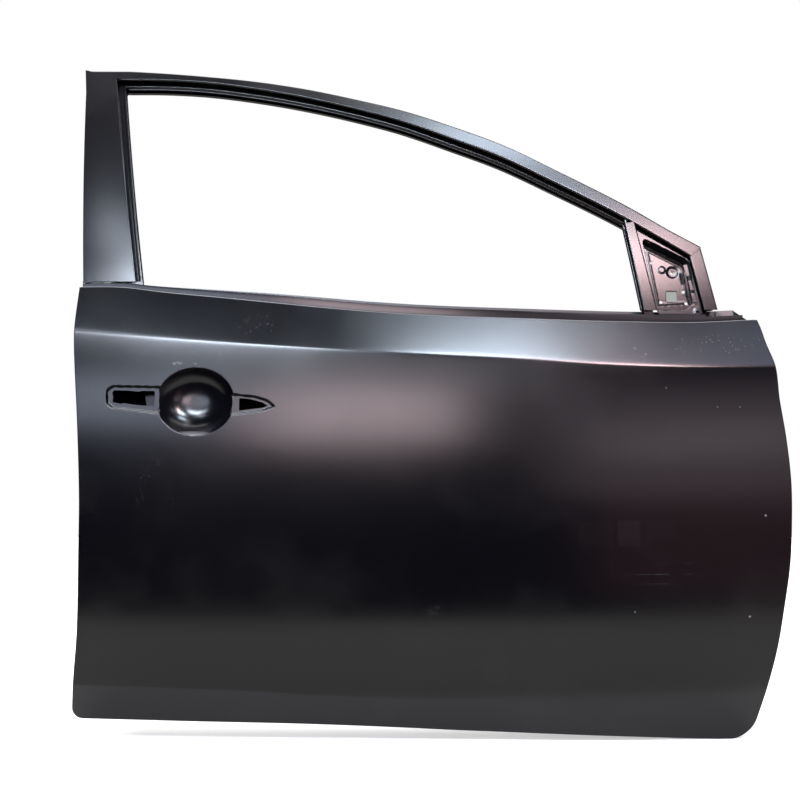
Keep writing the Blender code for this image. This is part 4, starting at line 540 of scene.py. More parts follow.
def skin():
    """Main grid with a window for the handle, a finer grid in that window whose points
    near the two openings move on to their edges, and bands for the hem, which follows a
    half circle, and for the belt's ledge and flange, whose profiles keep to the belt."""
    u = np.linspace(0, 1, SKIN_COLUMNS)
    low, middle, top = (eased(count) for count in SKIN_ROWS)
    v = np.concatenate([low, 1 + middle[1:], 2 + top[1:]])
    grid_u, grid_v = np.meshgrid(u, v)
    x, z = skin_place(grid_u, grid_v, HEM)
    spots = np.column_stack([x.ravel(), z.ravel()])
    faces = grid_faces(len(v), len(u))
    low_u, high_u = HANDLE_COLUMNS
    heights = z[:, HANDLE_MIDDLE]
    low_v, high_v = (int(np.argmin(np.abs(heights - edge))) for edge in HANDLE_HEIGHTS)
    row, column = np.divmod(faces[:, 0], len(u))
    window = (row >= low_v) & (row < high_v) & (column >= low_u) & (column < high_u)
    faces = faces[~window]

    count_u, count_v = HANDLE_GRID
    fine_u = np.interp(np.linspace(0, 1, count_u), (0, 1), (u[low_u], u[high_u]))
    fine_v = np.interp(np.linspace(0, 1, count_v), (0, 1), (v[low_v], v[high_v]))
    x, z = skin_place(*np.meshgrid(fine_u, fine_v), HEM)
    fine = np.column_stack([x.ravel(), z.ravel()])
    pull = (fine[1] - fine[0])[0] * OPENING_PULL
    fine_faces = grid_faces(count_v, count_u)
    for outline in openings:
        gap, nearest = to_outline(outline, fine)
        close = np.abs(gap) < pull
        fine[close] = nearest[close]
        within = (gap > 0) | close
        fine_faces = fine_faces[~within[fine_faces].all(axis=1)]
    depth = skin_depth(*fine.T) + handle_press(fine)
    fine = np.insert(fine, 1, depth, axis=1)
    points = np.insert(spots, 1, skin_depth(*spots.T), axis=1)
    faces = np.vstack([faces, fine_faces + len(points)])
    points = np.vstack([points, fine])

    around = np.concatenate([
        np.column_stack([np.zeros(len(v)), v[::-1]]),
        np.column_stack([u[1:-1], np.zeros(len(u) - 2)]),
        np.column_stack([np.ones(len(v)), v]),
    ])
    bands = []
    for angle in np.radians(np.linspace(0, 180, HEM_STEPS)):
        inset = HEM * (1 - math.sin(angle))
        x, z = skin_place(*around.T, inset)
        bands.append(np.column_stack([x, skin_depth(x, z) + HEM * (1 - math.cos(angle)), z]))
    x, z = skin_place(*around.T, HEM_WIDTH)
    bands.append(np.column_stack([x, skin_depth(x, z) + 2 * HEM, z]))
    faces = np.vstack([faces, grid_faces(len(bands), len(around), len(points))])
    points = np.vstack([points, *bands])

    ends = (rear_edge(HEIGHT) + HEM, front_edge(HEIGHT * FRONT_BELT) - HEM)
    places, rises = np.array(belt_rise_shares).T
    for (rear, front), profile in (
        ((0.0, 0.0), BELT_LEDGE_PROFILE), (BELT_SETBACKS, BELT_FLANGE_PROFILE),
    ):
        xs = np.linspace(ends[0] + rear, ends[1] - front, BELT_STATIONS)
        rise = BELT_FLANGE * np.interp(xs, places * LENGTH, rises)
        near = skin_depth(xs, belt_line(xs))
        bands = [
            np.column_stack([xs, near + inward, belt_line(xs) + fixed + share * rise])
            for inward, fixed, share in profile
        ]
        faces = np.vstack([faces, grid_faces(len(bands), len(xs), len(points))])
        points = np.vstack([points, *bands])
    return surface("outer_skin", points, faces, skin_coat)


piece = skin()
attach(piece, "root")
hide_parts("outer_panel")


# Header of the window frame
# Roll-formed steel, 1.1 mm, bent to the roof line: a narrow outer face with its edge
# turned in, the channel for the glass seal, and a hollow box towards the cabin.
FRAME_RISE = 0.380
FRAME_GAP = 0.0199
FRAME_LEAN = 0.22
FRAME_CURVE = 1.43
FRAME_FOOT = 0.971 * HEIGHT
FRAME_SHEET = 0.0011
FRAME_DEPTH = 0.040
HEADER_FACE = 0.0231
HEM_RETURN = 0.0050
SASH_LIP = 0.0030
CHANNEL_INNER = 0.0195
CHANNEL_DEPTH = 0.0140
CHANNEL_WEB = 0.0036
FOLD = 0.0040
BOX_LIP = 0.0060
BOX_EDGE = 0.0020
INNER_BELT = 0.020
FOLD_RADIUS = 0.0016
FOLD_REACH = 0.48
FOLD_HOLD = 1.6
HOLD_REACH = 0.495
BEAD = 0.0048
BEAD_STEP = 0.0013
HEADER_SET_IN = 0.0020
HEADER_PROUD = 0.0030
HEADER_STATIONS = 97
SEAM = 0.0003
rear_corner = ((0.0364, 0.9455), (-0.0196, 0.9974))
front_corner = ((0.8719, 0.1316), (0.8888, 0.1721))
header_shares = (
    (0.0364, 0.9455), (0.0889, 0.9434), (0.1586, 0.9297), (0.2360, 0.8971), (0.3130, 0.8526),
    (0.3894, 0.7966), (0.4533, 0.7413), (0.5285, 0.6576), (0.6030, 0.5689), (0.6767, 0.4589),
    (0.7756, 0.3039), (0.8719, 0.1316),
)
face_shares = (
    (0.0364, 0.78), (0.0889, 0.63), (0.1586, 0.54), (0.2360, 0.63), (0.3130, 0.72),
    (0.3894, 0.78), (0.4533, 0.87), (0.5285, 0.96), (0.6767, 0.93), (0.7756, 0.90),
    (0.8400, 0.90), (0.8719, 1.00),
)
middle_x = BOW_CENTRE * LENGTH
setback = float(skin_depth(middle_x, belt_line(middle_x))) + FRAME_GAP


def frame_depth(x, z):
    """The frame's outer surface: the skin's bow, plus a share of the height over the
    frame's foot, plus its square over twice a radius."""
    rise = z - FRAME_FOOT
    return plan_bow(x) + setback + FRAME_LEAN * rise + rise**2 / (2 * FRAME_CURVE)


def frame_points(flat, level):
    """Points at a level inboard of the frame's outer surface, along its normal: minus
    its two slopes and one, over the root of the sum of their squares."""
    x, z = flat[..., 0], flat[..., 1]
    along = (x - middle_x) / BOW
    up = FRAME_LEAN + (z - FRAME_FOOT) / FRAME_CURVE
    square = level / np.sqrt(1 + along**2 + up**2)
    return np.stack([x - along * square, frame_depth(x, z) + square, z - up * square], axis=-1)


def frame_place(shares):
    """Place in X and Z from shares of the door's length and of the frame's rise."""
    return np.asarray(shares, float) * (LENGTH, FRAME_RISE) + (0, HEIGHT)


def header_height(x):
    """Smooth curve through the header's knots, over the skin's height."""
    return HEIGHT + through(header_shares, x, LENGTH, FRAME_RISE)


def inner_belt(x):
    """Belt line plus a rise that grows evenly between the flange's first two knots."""
    places, rises = np.array(belt_rise_shares[:2]).T
    return belt_line(x) + INNER_BELT * np.interp(x, places * LENGTH, rises)


def unit(ways):
    """Directions over their own lengths."""
    return ways / np.linalg.norm(ways, axis=-1, keepdims=True)


def folded(lines, sheet, radius=FOLD_RADIUS, steps=4):
    """Closed outlines of bent sheet, one for each station. Each corner of a centre line
    becomes a parabola between two points at the radius from it, with one more point held
    on the straight at each side, and the two sides lie half a sheet off that line."""
    corners = lines[:, 1:-1]
    before = lines[:, :-2] - corners
    after = lines[:, 2:] - corners
    sizes = [np.linalg.norm(way, axis=2, keepdims=True) for way in (before, after)]
    reach = np.minimum(np.minimum(*sizes) * FOLD_REACH, radius)
    holds = [np.minimum(reach * FOLD_HOLD, size * HOLD_REACH) for size in sizes]
    start = (corners + unit(before) * reach)[:, :, None]
    end = (corners + unit(after) * reach)[:, :, None]
    t = np.linspace(0, 1, steps + 1)[:, None]
    arcs = start * (1 - t) ** 2 + corners[:, :, None] * 2 * t * (1 - t) + end * t**2
    first = (corners + unit(before) * holds[0])[:, :, None]
    last = (corners + unit(after) * holds[1])[:, :, None]
    bends = np.concatenate([first, arcs, last], axis=2).reshape(len(lines), -1, 2)
    middle = np.concatenate([lines[:, :1], bends, lines[:, -1:]], axis=1)
    run = unit(np.diff(middle, axis=1))
    ahead = np.concatenate([run, run[:, -1:]], axis=1)
    behind = np.concatenate([run[:, :1], run], axis=1)
    along = unit(ahead + behind)
    side = np.stack([-along[..., 1], along[..., 0]], axis=-1)
    shift = side * sheet / 2 / np.sum(along * behind, axis=-1, keepdims=True)
    return np.concatenate([middle + shift, (middle - shift)[:, ::-1]], axis=1)


def swept(name, sections, coat):
    """Skin over closed sections, one after the other, and a strip over each end. The
    faces are turned round where the volume they hold comes out below nought."""
    stations, count = sections.shape[:2]
    index = np.arange(stations * count).reshape(stations, count)
    index = np.concatenate([index, index[:, :1]], axis=1)
    corners = (index[:-1, :-1], index[:-1, 1:], index[1:, 1:], index[1:, :-1])
    faces = [np.stack(corners, axis=-1).reshape(-1, 4)]
    near = np.arange(count // 2 - 1)
    far = count - 1 - near
    cap = np.column_stack([near, far, far - 1, near + 1])
    faces += [cap, cap[:, ::-1] + (stations - 1) * count]
    points = sections.reshape(-1, 3)
    faces = np.vstack(faces)
    a, b, c, d = (points[faces[:, i]] for i in range(4))
    volume = np.sum(a * (np.cross(b, c) + np.cross(c, d)))
    return surface(name, points, faces if volume > 0 else faces[:, ::-1], coat)


def path_sides(path, first=None, last=None):
    """Directions square to a path, on its left, over the cosine of half the bend there.
    A given one at an end makes a mitre."""
    run = unit(np.diff(path, axis=0))
    behind = np.vstack([run[:1], run])
    along = unit(behind + np.vstack([run, run[-1:]]))
    sides = np.column_stack([-along[:, 1], along[:, 0]])
    sides /= np.sum(along * behind, axis=1)[:, None]
    for end, given, step in ((0, first, run[0]), (-1, last, run[-1])):
        if given is not None:
            given = np.asarray(given, float)
            sides[end] = given / (given @ np.array([-step[1], step[0]]))
    return sides


def sash_lines(face, level, channel, box, depth, set_in=0.0, proud=0.0):
    """Centre lines of a sash, for arrays of widths: turned-in edge, outer face, channel
    of the glass seal with a stepped inner flange, fold, and the box towards the cabin
    with its lip. The outer face may start set in, and the box may stand proud."""
    fold = CHANNEL_INNER + FOLD
    back = depth - FRAME_SHEET / 2
    lip = min(BOX_LIP, (back - fold) / 2)
    corners = (
        (set_in + HEM_RETURN, level + SASH_LIP), (set_in, level + SASH_LIP), (set_in, level),
        (face, level), (face, level + SASH_LIP), (channel, level + SASH_LIP),
        (channel, CHANNEL_INNER), (BEAD, CHANNEL_INNER),
        (BEAD - BEAD_STEP, CHANNEL_INNER - BEAD_STEP),
        (0, CHANNEL_INNER - BEAD_STEP), (0, fold - BEAD_STEP), (-proud, fold), (box, fold),
        (box, back), (BOX_EDGE - proud, back), (BOX_EDGE - proud, back - lip),
    )
    rows = [np.broadcast_arrays(np.asarray(a, float), b, face)[:2] for a, b in corners]
    return np.stack([np.stack(row, axis=-1) for row in rows], axis=1)


def along_frame(name, path, sides, outlines, coat, level_end=None):
    """Outlines carried along a path on the frame's surface. The end that is named is cut
    off at one height."""
    flat = path[:, None] + outlines[..., :1] * sides[:, None]
    sections = frame_points(flat, outlines[..., 1])
    if level_end is not None:
        end = sections[level_end].copy()
        run = sections[1 if level_end == 0 else -2] - end
        share = (path[level_end, 1] - end[:, 2]) / run[:, 2]
        sections[level_end] = end + run * share[:, None]
    return swept(name, sections, coat)


def header():
    """The sash carried along the roof line, whose outer face has a share of its full
    width at each knot. Both ends are cut along their mitres and stand a seam off them."""
    shares = np.linspace(header_shares[0][0], header_shares[-1][0], HEADER_STATIONS)
    path = np.column_stack([shares * LENGTH, header_height(shares * LENGTH)])
    face = HEADER_FACE * through(face_shares, path[:, 0], LENGTH, 1.0)
    rear, front = frame_place(rear_corner), frame_place(front_corner)
    sides = path_sides(path, rear[1] - rear[0], front[1] - front[0])
    path[0, 0] += SEAM
    path[-1] += unit(path[-2] - path[-1]) * SEAM
    level = FRAME_SHEET / 2
    channel = face - CHANNEL_WEB
    lines = sash_lines(face, level, channel, face, FRAME_DEPTH, HEADER_SET_IN, HEADER_PROUD)
    return along_frame("header", path, sides, folded(lines, FRAME_SHEET), frame_coat)


piece = header()
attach(piece, "root")
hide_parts("upper_sash")


# Rear post and its cover
# The same rolled section as the header, wider towards the door's edge, with a flat cover
# of 1 mm sheet whose long edge is turned in.
POST_FOOT = 0.0822 * LENGTH
POST_TOP = 0.97
POST_STATIONS = 33
REAR_BOX = 0.052
COVER_SHEET = 0.0010
COVER_INSETS = (0.0087, 0.0120)
COVER_RETURN = 0.0022
COVER_CROWN = 0.0009
COVER_RADIUS = 0.0010
COVER_POINTS = 15


def rear_post():
    """Path of the window-side edge, foot to corner, and the post's width along it."""
    inner, outer = frame_place(rear_corner)
    foot_z = float(np.max(inner_belt(np.linspace(0, POST_FOOT, 9)))) + SEAM
    share = np.linspace(0, 1, POST_STATIONS)
    path = np.array([POST_FOOT, foot_z]) + (inner - (POST_FOOT, foot_z)) * share[:, None]
    foot_width = POST_FOOT - rear_edge(foot_z) - HEM
    face = foot_width + (np.linalg.norm(outer - inner) * POST_TOP - foot_width) * share
    sides = path_sides(path, (-1, 0), outer - inner)
    path[-1, 1] -= SEAM
    return path, face, sides


path, face, sides = rear_post()
near = np.linspace(*COVER_INSETS, len(path))
level = COVER_SHEET + SEAM + FRAME_SHEET / 2
width = face - 3 * COVER_SHEET
lines = sash_lines(width, level, CHANNEL_DEPTH, REAR_BOX, FRAME_DEPTH, near + COVER_SHEET)
piece = along_frame("rear_post", path, sides, folded(lines, FRAME_SHEET), frame_coat, 0)
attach(piece, "root")
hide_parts("rear_sash")


def cover_lines(crown):
    """Centre lines of the cover: a turned-in edge beside the channel, a face that bulges
    as one minus a square, and the turned-in rear edge."""
    edge = face - COVER_SHEET / 2
    share = np.linspace(0, 1, COVER_POINTS)
    across = near[:, None] + (edge - near)[:, None] * share
    level = COVER_SHEET / 2 - crown * (1 - (2 * share - 1) ** 2)
    rows = np.stack([across, np.broadcast_to(level, across.shape)], axis=-1)
    first = np.stack([near, np.full(len(near), COVER_SHEET / 2 + COVER_RETURN / 2)], axis=-1)
    last = np.stack([edge, np.full(len(edge), COVER_SHEET / 2 + COVER_RETURN)], axis=-1)
    return np.concatenate([first[:, None], rows, last[:, None]], axis=1)


outlines = folded(cover_lines(COVER_CROWN), COVER_SHEET, COVER_RADIUS, steps=2)
piece = along_frame("rear_post_cover", path, sides, outlines, frame_coat, 0)
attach(piece, "root")
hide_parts("rear_post_plate")


# Front post
# Short rolled steel post, 1.1 mm, from the mitred front corner down to the belt, with
# the same channel for the glass seal as the header.
FRONT_FACE = 0.0205
FRONT_FOOT = 0.8894 * LENGTH
FRONT_STATIONS = 17

top = frame_place(front_corner)
under = np.linspace(FRONT_FOOT, FRONT_FOOT + FRONT_FACE, 5)
foot = np.array([FRONT_FOOT, float(np.max(inner_belt(under))) + SEAM])
path = top[0] + (foot - top[0]) * np.linspace(0, 1, FRONT_STATIONS)[:, None]
sides = path_sides(path, top[1] - top[0], (1, 0))
path[0] += unit(path[1] - path[0]) * SEAM
face = np.full(len(path), FRONT_FACE)
lines = sash_lines(face, FRAME_SHEET / 2, CHANNEL_DEPTH, face, FRAME_DEPTH)
piece = along_frame("front_post", path, sides, folded(lines, FRAME_SHEET), frame_coat, -1)
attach(piece, "root")
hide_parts("front_sash")


# Division bar
# Rolled steel bar, 1.1 mm, between the window and the mirror corner. Its face widens a
# little towards the belt, and it is less deep than the posts.
BAR_TOP = 0.7784 * LENGTH
BAR_FOOT = 0.8019 * LENGTH
BAR_FACE = 0.0180
BAR_TAPER = 0.86
BAR_DEPTH = 0.0290
BAR_STATIONS = 25

ahead = BAR_TOP + BAR_FACE
top = np.array([BAR_TOP, float(header_height(BAR_TOP)) - 2 * FRAME_SHEET])
foot = np.array([BAR_FOOT, float(inner_belt(BAR_FOOT)) + 2 * SEAM])
path = top + (foot - top) * np.linspace(0, 1, BAR_STATIONS)[:, None]
slope = (BAR_FACE, float(header_height(ahead) - header_height(BAR_TOP)))
sides = path_sides(path, slope, (1, 0))
face = BAR_FACE * np.linspace(BAR_TAPER, 2 - BAR_TAPER, len(path))
lines = sash_lines(face, FRAME_SHEET / 2, face - CHANNEL_WEB, face, BAR_DEPTH)
piece = along_frame("division_bar", path, sides, folded(lines, FRAME_SHEET), frame_coat, -1)
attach(piece, "root")
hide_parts("division_sash")


# Mirror corner
# Deep-drawn pan that closes the corner ahead of the division bar: rim, steep wall, and a
# sunk floor with a dished seat for the mirror's bolt, a boss and pierced openings.
PAN_RIM = 0.0050
PAN_FLOOR = 0.0240
PAN_WALL = 0.0034
PAN_CORNER = 0.0090
PAN_STEP = 0.00065
PAN_BEAD = 0.0075
PAN_BEAD_WIDTH = 0.0016
PAN_BEAD_HEIGHT = 0.0004
BOLT_SEAT = 0.0110
BOLT_DISH = 0.0016
BOLT_SLOPE = 0.40
BOLT_HOLE = 0.0040
BOSS = 0.0070
BOSS_HEIGHT = 0.0010
BOSS_SLOPE = 0.45
ROUND_HOLE = 0.00275
SQUARE_HOLE = 0.0034
WINDOW_HALF = 0.009
WINDOW_CORNER = 0.0016
SQUARE = np.array([(-1, -1), (1, -1), (1, 1), (-1, 1)])
EDGE_PULL = 0.72
rim_shares = ((0.7962, 0.2520), (0.8698, 0.1250), (0.8876, -0.1158), (0.8226, -0.1158))
floor_shares = ((0.8053, 0.2145), (0.8702, 0.1158), (0.8782, -0.0684), (0.8222, -0.0789))
bolt = frame_place((0.8503, 0.0824))
boss = frame_place((0.8347, 0.0932))
round_spots = frame_place(((0.8094, 0.1676), (0.8317, -0.0500), (0.8685, -0.0560)))
square_spots = frame_place(((0.8203, 0.1250), (0.8649, -0.0045)))
window_spot = frame_place((0.8475, -0.0250))


def ring(centre, radius, count=24, turn=0.0):
    """Regular outline round a centre, from the cosine and the sine of even angles."""
    angle = np.linspace(0, 2 * math.pi, count, endpoint=False) + turn
    return centre + radius * np.column_stack([np.cos(angle), np.sin(angle)])


def pressed(name, outline, holes, place, step, coat, sheet):
    """Sheet over an outline. A square grid is laid over it, its points near an edge move
    on to that edge, the cells outside are left out, and a place function gives the
    depth. The sheet's thickness goes to the cabin side."""
    start = outline.min(axis=0) - step
    count = np.ceil((outline.max(axis=0) + step - start) / step).astype(int) + 1
    xs, zs = (start[i] + step * np.arange(count[i]) for i in (0, 1))
    flat = np.stack(np.meshgrid(xs, zs), axis=-1).reshape(-1, 2)
    outside = np.zeros(len(flat), bool)
    fixed = np.zeros(len(flat), bool)
    for edge, side in [(outline, 1.0)] + [(hole, -1.0) for hole in holes]:
        gap, nearest = to_outline(edge, flat)
        close = (np.abs(gap) < step * EDGE_PULL) & ~fixed
        flat[close] = nearest[close]
        fixed |= close
        outside |= ~close & (gap * side < 0)
    faces = grid_faces(count[1], count[0])
    faces = faces[~outside[faces].any(axis=1)]
    used, faces = np.unique(faces, return_inverse=True)
    piece = surface(name, place(flat[used]), faces.reshape(-1, 4), coat)
    wall = piece.modifiers.new("sheet", "SOLIDIFY")
    wall.thickness = sheet
    wall.offset = -1.0
    return piece


pan_floor = rounded(frame_place(floor_shares), PAN_CORNER, steps=10)
window = window_spot + WINDOW_HALF * SQUARE


def pan_level(flat):
    """Rim depth, plus the floor's by a smooth step over the wall, plus a dish round the
    bolt and less a raised boss, both smooth steps of the distance from their centres,
    and less a shallow bead along the rim, by the exponential of minus a square."""
    inside = to_outline(pan_floor, flat)[0]
    wall = np.clip(inside / PAN_WALL + 0.5, 0, 1)
    dish = np.clip((1 - np.linalg.norm(flat - bolt, axis=1) / BOLT_SEAT) / BOLT_SLOPE, 0, 1)
    raised = np.clip((1 - np.linalg.norm(flat - boss, axis=1) / BOSS) / BOSS_SLOPE, 0, 1)
    bead = np.exp(-(((inside - PAN_BEAD) / PAN_BEAD_WIDTH) ** 2))
    level = PAN_RIM + (PAN_FLOOR - PAN_RIM) * wall**2 * (3 - 2 * wall)
    level += BOLT_DISH * dish**2 * (3 - 2 * dish) - BOSS_HEIGHT * raised**2 * (3 - 2 * raised)
    return level - PAN_BEAD_HEIGHT * bead


holes = [ring(bolt, BOLT_HOLE)]
holes += [ring(spot, ROUND_HOLE) for spot in round_spots]
holes += [ring(spot, SQUARE_HOLE, count=4, turn=math.pi / 4) for spot in square_spots]
holes.append(rounded(window, WINDOW_CORNER, steps=4))
piece = pressed(
    "mirror_pan", rounded(frame_place(rim_shares), PAN_CORNER / 3, steps=4), holes,
    lambda flat: frame_points(flat, pan_level(flat)), PAN_STEP, frame_coat, FRAME_SHEET,
)
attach(piece, "root")
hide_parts("mirror_panel")


# Tabs of the mirror corner
# Three small stamped tabs spot-welded on the pan's front rim, and its lower flange, with
# a raised seat for a screw. Steel, 1 mm, scuffed by handling.
TAB_SHEET = 0.0010
TAB_STEP = 0.0006
TAB_CORNER = 0.0012
TAB_LEVEL = 0.0038
FLANGE_LEVEL = 0.0024
FLANGE_START = 0.6530
FLANGE_RUN = 0.0030
SEAT_RADIUS = 0.0085
SEAT_HEIGHT = 0.0020
SCREW_HOLE = 0.0028
tab_corners = {
    "pan_tab_upper": ((0.9700, 0.7370), (0.9762, 0.7382), (0.9800, 0.7200), (0.9742, 0.7180)),
    "pan_tab_middle": ((0.9765, 0.7110), (0.9818, 0.7120), (0.9858, 0.6960), (0.9800, 0.6945)),
    "pan_tab_lower": ((0.9800, 0.6900), (0.9862, 0.6915), (0.9902, 0.6760), (0.9842, 0.6742)),
}
flange_corners = (
    (0.9285, 0.6490), (0.9262, 0.6610), (0.9700, 0.6622), (0.9800, 0.6700), (0.9915, 0.6718),
    (0.9968, 0.6490),
)
foot_screw = np.array([0.9890, 0.6585])
tab_coat = primer(
    "tab_coat", colour=(0.030, 0.026, 0.028), rough=0.24, smudge=0.10, scratch=0.30, peel=0.02
)


def tab(name, corners, level, holes=(), corner=TAB_CORNER, coat=tab_coat, sheet=TAB_SHEET):
    """Sheet over an outline with rounded corners, at a level inboard of the frame."""
    piece = pressed(
        name, rounded(np.array(corners), corner, steps=4), list(holes),
        lambda flat: frame_points(flat, level(flat)), TAB_STEP, coat, sheet,
    )
    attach(piece, "root")
    return piece


def at(level):
    """The same level for every point."""
    return lambda flat: np.full(len(flat), level)


def stepped_tab(flat):
    """A smooth step up to the flange, and a round seat raised by a cosine."""
    rise = np.clip((flat[:, 1] - FLANGE_START) / FLANGE_RUN, 0, 1)
    seat = np.clip(1 - np.linalg.norm(flat - foot_screw, axis=1) / SEAT_RADIUS, 0, 1)
    level = TAB_LEVEL - (TAB_LEVEL - FLANGE_LEVEL) * rise**2 * (3 - 2 * rise)
    return level - SEAT_HEIGHT / 2 * (1 - np.cos(math.pi * seat))


for name, corners in tab_corners.items():
    tab(name, corners, at(TAB_LEVEL))
piece = tab("pan_foot", flange_corners, stepped_tab, [ring(foot_screw, SCREW_HOLE)])


# Film behind the mirror corner's window
# A dull greenish self-adhesive film, 0.3 mm, cut square and laid over the pan's window
# from behind.
FILM_SHEET = 0.0003
FILM_LAP = 0.0035
FILM_CORNER = 0.002
film_coat = primer(
    "film_coat", colour=(0.170, 0.180, 0.145), rough=0.55, smudge=0.10, scratch=0.05, peel=0.05
)
film_corners = window_spot + (WINDOW_HALF + FILM_LAP) * SQUARE
behind = at(PAN_FLOOR + FRAME_SHEET + FILM_SHEET)
tab("window_film", film_corners, behind, corner=FILM_CORNER, coat=film_coat, sheet=FILM_SHEET)


# Foot of the rear post
# Small stamped foot welded over the join of the post and the belt: a strip with a
# pierced slot and a rounded tab at its front end. Steel, 1 mm.
FOOT_LEVEL = 0.0012
FOOT_CORNER = 0.0016
SLOT_PLACE = (0.0560, 0.7005)
SLOT_HALF = (0.005, 0.0022)
SLOT_CORNER = 0.0012
foot_corners = (
    (0.0120, 0.6985), (0.0120, 0.7070), (0.0300, 0.7072), (0.0330, 0.7050), (0.0420, 0.7050),
    (0.0450, 0.7068), (0.0840, 0.7052), (0.0860, 0.7012), (0.1160, 0.6992), (0.1230, 0.6965),
    (0.1230, 0.6930), (0.0840, 0.6945),
)
foot_slot = rounded(np.array(SLOT_PLACE) + SQUARE * SLOT_HALF, SLOT_CORNER, steps=4)
piece = tab("post_foot", foot_corners, at(FOOT_LEVEL), [foot_slot], FOOT_CORNER, frame_coat)


# Studio
# A pale floor, a dark room, and soft area lamps that the black primer mirrors. The world
# and the floor are paler to the camera than to other rays, and the strip of floor ahead
# of the door is paler to those too, as it shows under the sill crease.
FLOOR_SEEN = (0.86, 0.86, 0.86, 1.0)
FLOOR_MIRRORED = (0.40, 0.39, 0.33, 1.0)
STRIP_MIRRORED = (0.66, 0.645, 0.60, 1.0)
FLOOR_GLOW = 0.50
STRIP_HEIGHT = 0.0005


def ground(name, left, near, right, far, height, mirrored):
    """Level sheet between four edges. Its colour is a mix of two, and its glow a
    product, by whether a camera ray sees it."""
    mesh = bpy.data.meshes.new(name)
    corners = ((left, near), (right, near), (right, far), (left, far))
    mesh.from_pydata([(x, y, height) for x, y in corners], [], [(0, 1, 2, 3)])
    plane = bpy.data.objects.new(name, mesh)
    material = bpy.data.materials.new(name)
    material.use_nodes = True
    nodes, links = material.node_tree.nodes, material.node_tree.links
    shader = nodes["Principled BSDF"]
    shader.inputs["Roughness"].default_value = 0.9
    rays = nodes.new("ShaderNodeLightPath")
    pale = nodes.new("ShaderNodeMix")
    pale.data_type = "RGBA"
    pale.inputs["A"].default_value = mirrored
    pale.inputs["B"].default_value = FLOOR_SEEN
    links.new(rays.outputs["Is Camera Ray"], pale.inputs["Factor"])
    links.new(pale.outputs["Result"], shader.inputs["Base Color"])
    glow = nodes.new("ShaderNodeMath")
    glow.operation = "MULTIPLY"
    glow.inputs[1].default_value = FLOOR_GLOW
    links.new(rays.outputs["Is Camera Ray"], glow.inputs[0])
    shader.inputs["Emission Color"].default_value = (1.0, 1.0, 1.0, 1.0)
    links.new(glow.outputs["Value"], shader.inputs["Emission Strength"])
    mesh.materials.append(material)
    bpy.context.scene.collection.objects.link(plane)
    return plane


bottom = loaded_box[0][2]
floor = ground(
    "floor", left=-5, near=-0.7, right=4, far=3.4, height=bottom, mirrored=FLOOR_MIRRORED
)
floor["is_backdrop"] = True
strip = ground(
    "floor_strip", left=-1.2, near=-0.215, right=0.3, far=-0.02,
    height=bottom + STRIP_HEIGHT, mirrored=STRIP_MIRRORED,
)
strip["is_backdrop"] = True

world = bpy.data.worlds.new("studio")
bpy.context.scene.world = world
world.use_nodes = True
nodes, links = world.node_tree.nodes, world.node_tree.links
room = nodes["Background"]
room.inputs["Color"].default_value = (0.55, 0.57, 0.60, 1.0)
room.inputs["Strength"].default_value = 0.02
backdrop = nodes.new("ShaderNodeBackground")
backdrop.inputs["Color"].default_value = (1.0, 1.0, 1.0, 1.0)
backdrop.inputs["Strength"].default_value = 1.0
rays = nodes.new("ShaderNodeLightPath")
mix = nodes.new("ShaderNodeMixShader")
links.new(rays.outputs["Is Camera Ray"], mix.inputs["Fac"])
links.new(room.outputs["Background"], mix.inputs[1])
links.new(backdrop.outputs["Background"], mix.inputs[2])
links.new(mix.outputs["Shader"], nodes["World Output"].inputs["Surface"])


def lamp(name, place, aim, size, power, colour):
    """Area lamp, places from the skin's corner. Its tilt from straight down and its turn
    are the arc tangents of the way to the aim."""
    light = bpy.data.lights.new(name, "AREA")
    light.shape = "RECTANGLE"
    light.size, light.size_y = size
    light.energy = power
    light.color = colour
    thing = bpy.data.objects.new(name, light)
    thing.location = np.array(place) - HINGE
    way = np.array(aim) - np.array(place)
    tilt = math.atan2(math.hypot(way[0], way[1]), -way[2])
    thing.rotation_euler = (tilt, 0.0, math.atan2(way[1], way[0]) - math.pi / 2)
    bpy.context.scene.collection.objects.link(thing)


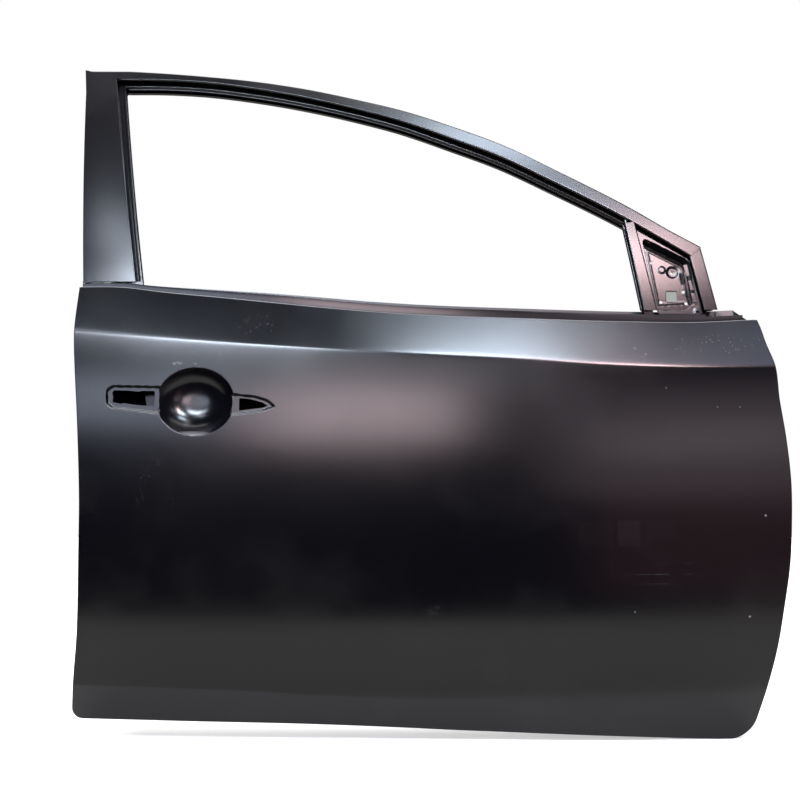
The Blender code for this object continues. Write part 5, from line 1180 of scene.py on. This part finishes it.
# Each lamp: name, place, aim, width and height, power in watts, and colour.
for row in (
    ("wash", (0.5, 2.7, 3.4), (0.5, 2.7, 0.0), (6.0, 3.6), 300.0, (1.0, 1.0, 1.0)),
    ("floor_front", (0.5, -0.10, 3.2), (0.5, -0.10, 0.0), (2.6, 0.4), 8.0, (0.96, 0.98, 1.0)),
    ("shoulder", (0.92, -1.58, 2.20), (0.70, 0.05, 0.62), (0.58, 0.30), 33.0, (0.74, 0.86, 1.0)),
    ("shoulder_fill", (1.5, -1.50, 2.25), (1.0, 0.05, 0.62), (1.9, 0.35), 5.4, (0.66, 0.76, 1.0)),
    ("header", (0.83, -0.90, 2.4), (0.74, 0.10, 0.92), (0.55, 0.3), 14.0, (0.72, 0.84, 1.0)),
    ("rear_post", (-0.53, -1.75, 2.36), (0.06, 0.07, 0.75), (0.6, 0.3), 5.0, (0.76, 0.86, 1.0)),
    ("crease_left", (-0.65, -2.20, 1.95), (0.05, 0.0, 0.65), (0.5, 0.25), 9.0, (0.78, 0.86, 1.0)),
    ("bowl", (0.50, -2.9, 1.60), (0.19, 0.0, 0.51), (1.2, 0.35), 3.0, (0.92, 0.90, 1.0)),
    ("pillar", (1.63, -2.30, 2.51), (0.93, 0.08, 0.70), (0.5, 0.5), 42.0, (1.0, 0.70, 0.72)),
    ("crease", (-0.13, -2.20, 2.00), (0.20, 0.0, 0.63), (0.74, 0.40), 44.0, (0.76, 0.86, 1.0)),
    ("front", (0.33, -3.0, 1.22), (0.45, 0.0, 0.5), (1.0, 0.5), 15.0, (1.0, 0.80, 0.86)),
    ("left", (-0.75, -3.0, 1.38), (0.0, 0.0, 0.5), (0.9, 0.5), 7.5, (0.72, 0.80, 1.0)),
    ("right", (2.05, -3.0, 0.95), (1.0, 0.0, 0.45), (1.6, 1.1), 4.2, (1.0, 0.80, 0.88)),
    ("right_core", (2.10, -3.0, 0.98), (1.0, 0.0, 0.5), (1.2, 0.4), 1.5, (1.0, 0.85, 0.95)),
    ("low_right", (2.1, -3.0, 0.0), (1.0, 0.0, 0.3), (1.2, 1.2), 1.3, (1.0, 0.45, 0.50)),
):
    lamp(*row)


# Camera
# At the photograph's viewing angle: level, square to the side, 2.3 m from the skin.
camera = bpy.data.cameras.new("camera")
camera.lens = 66.8
camera.sensor_width = 36.0
eye = bpy.data.objects.new("camera", camera)
eye.location = np.array([0.510, -2.3, 0.517]) - HINGE
eye.rotation_euler = (math.pi / 2, 0.0, 0.0)
bpy.context.scene.collection.objects.link(eye)
bpy.context.scene.camera = eye
bpy.context.scene.view_settings.view_transform = "Standard"

low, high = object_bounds()
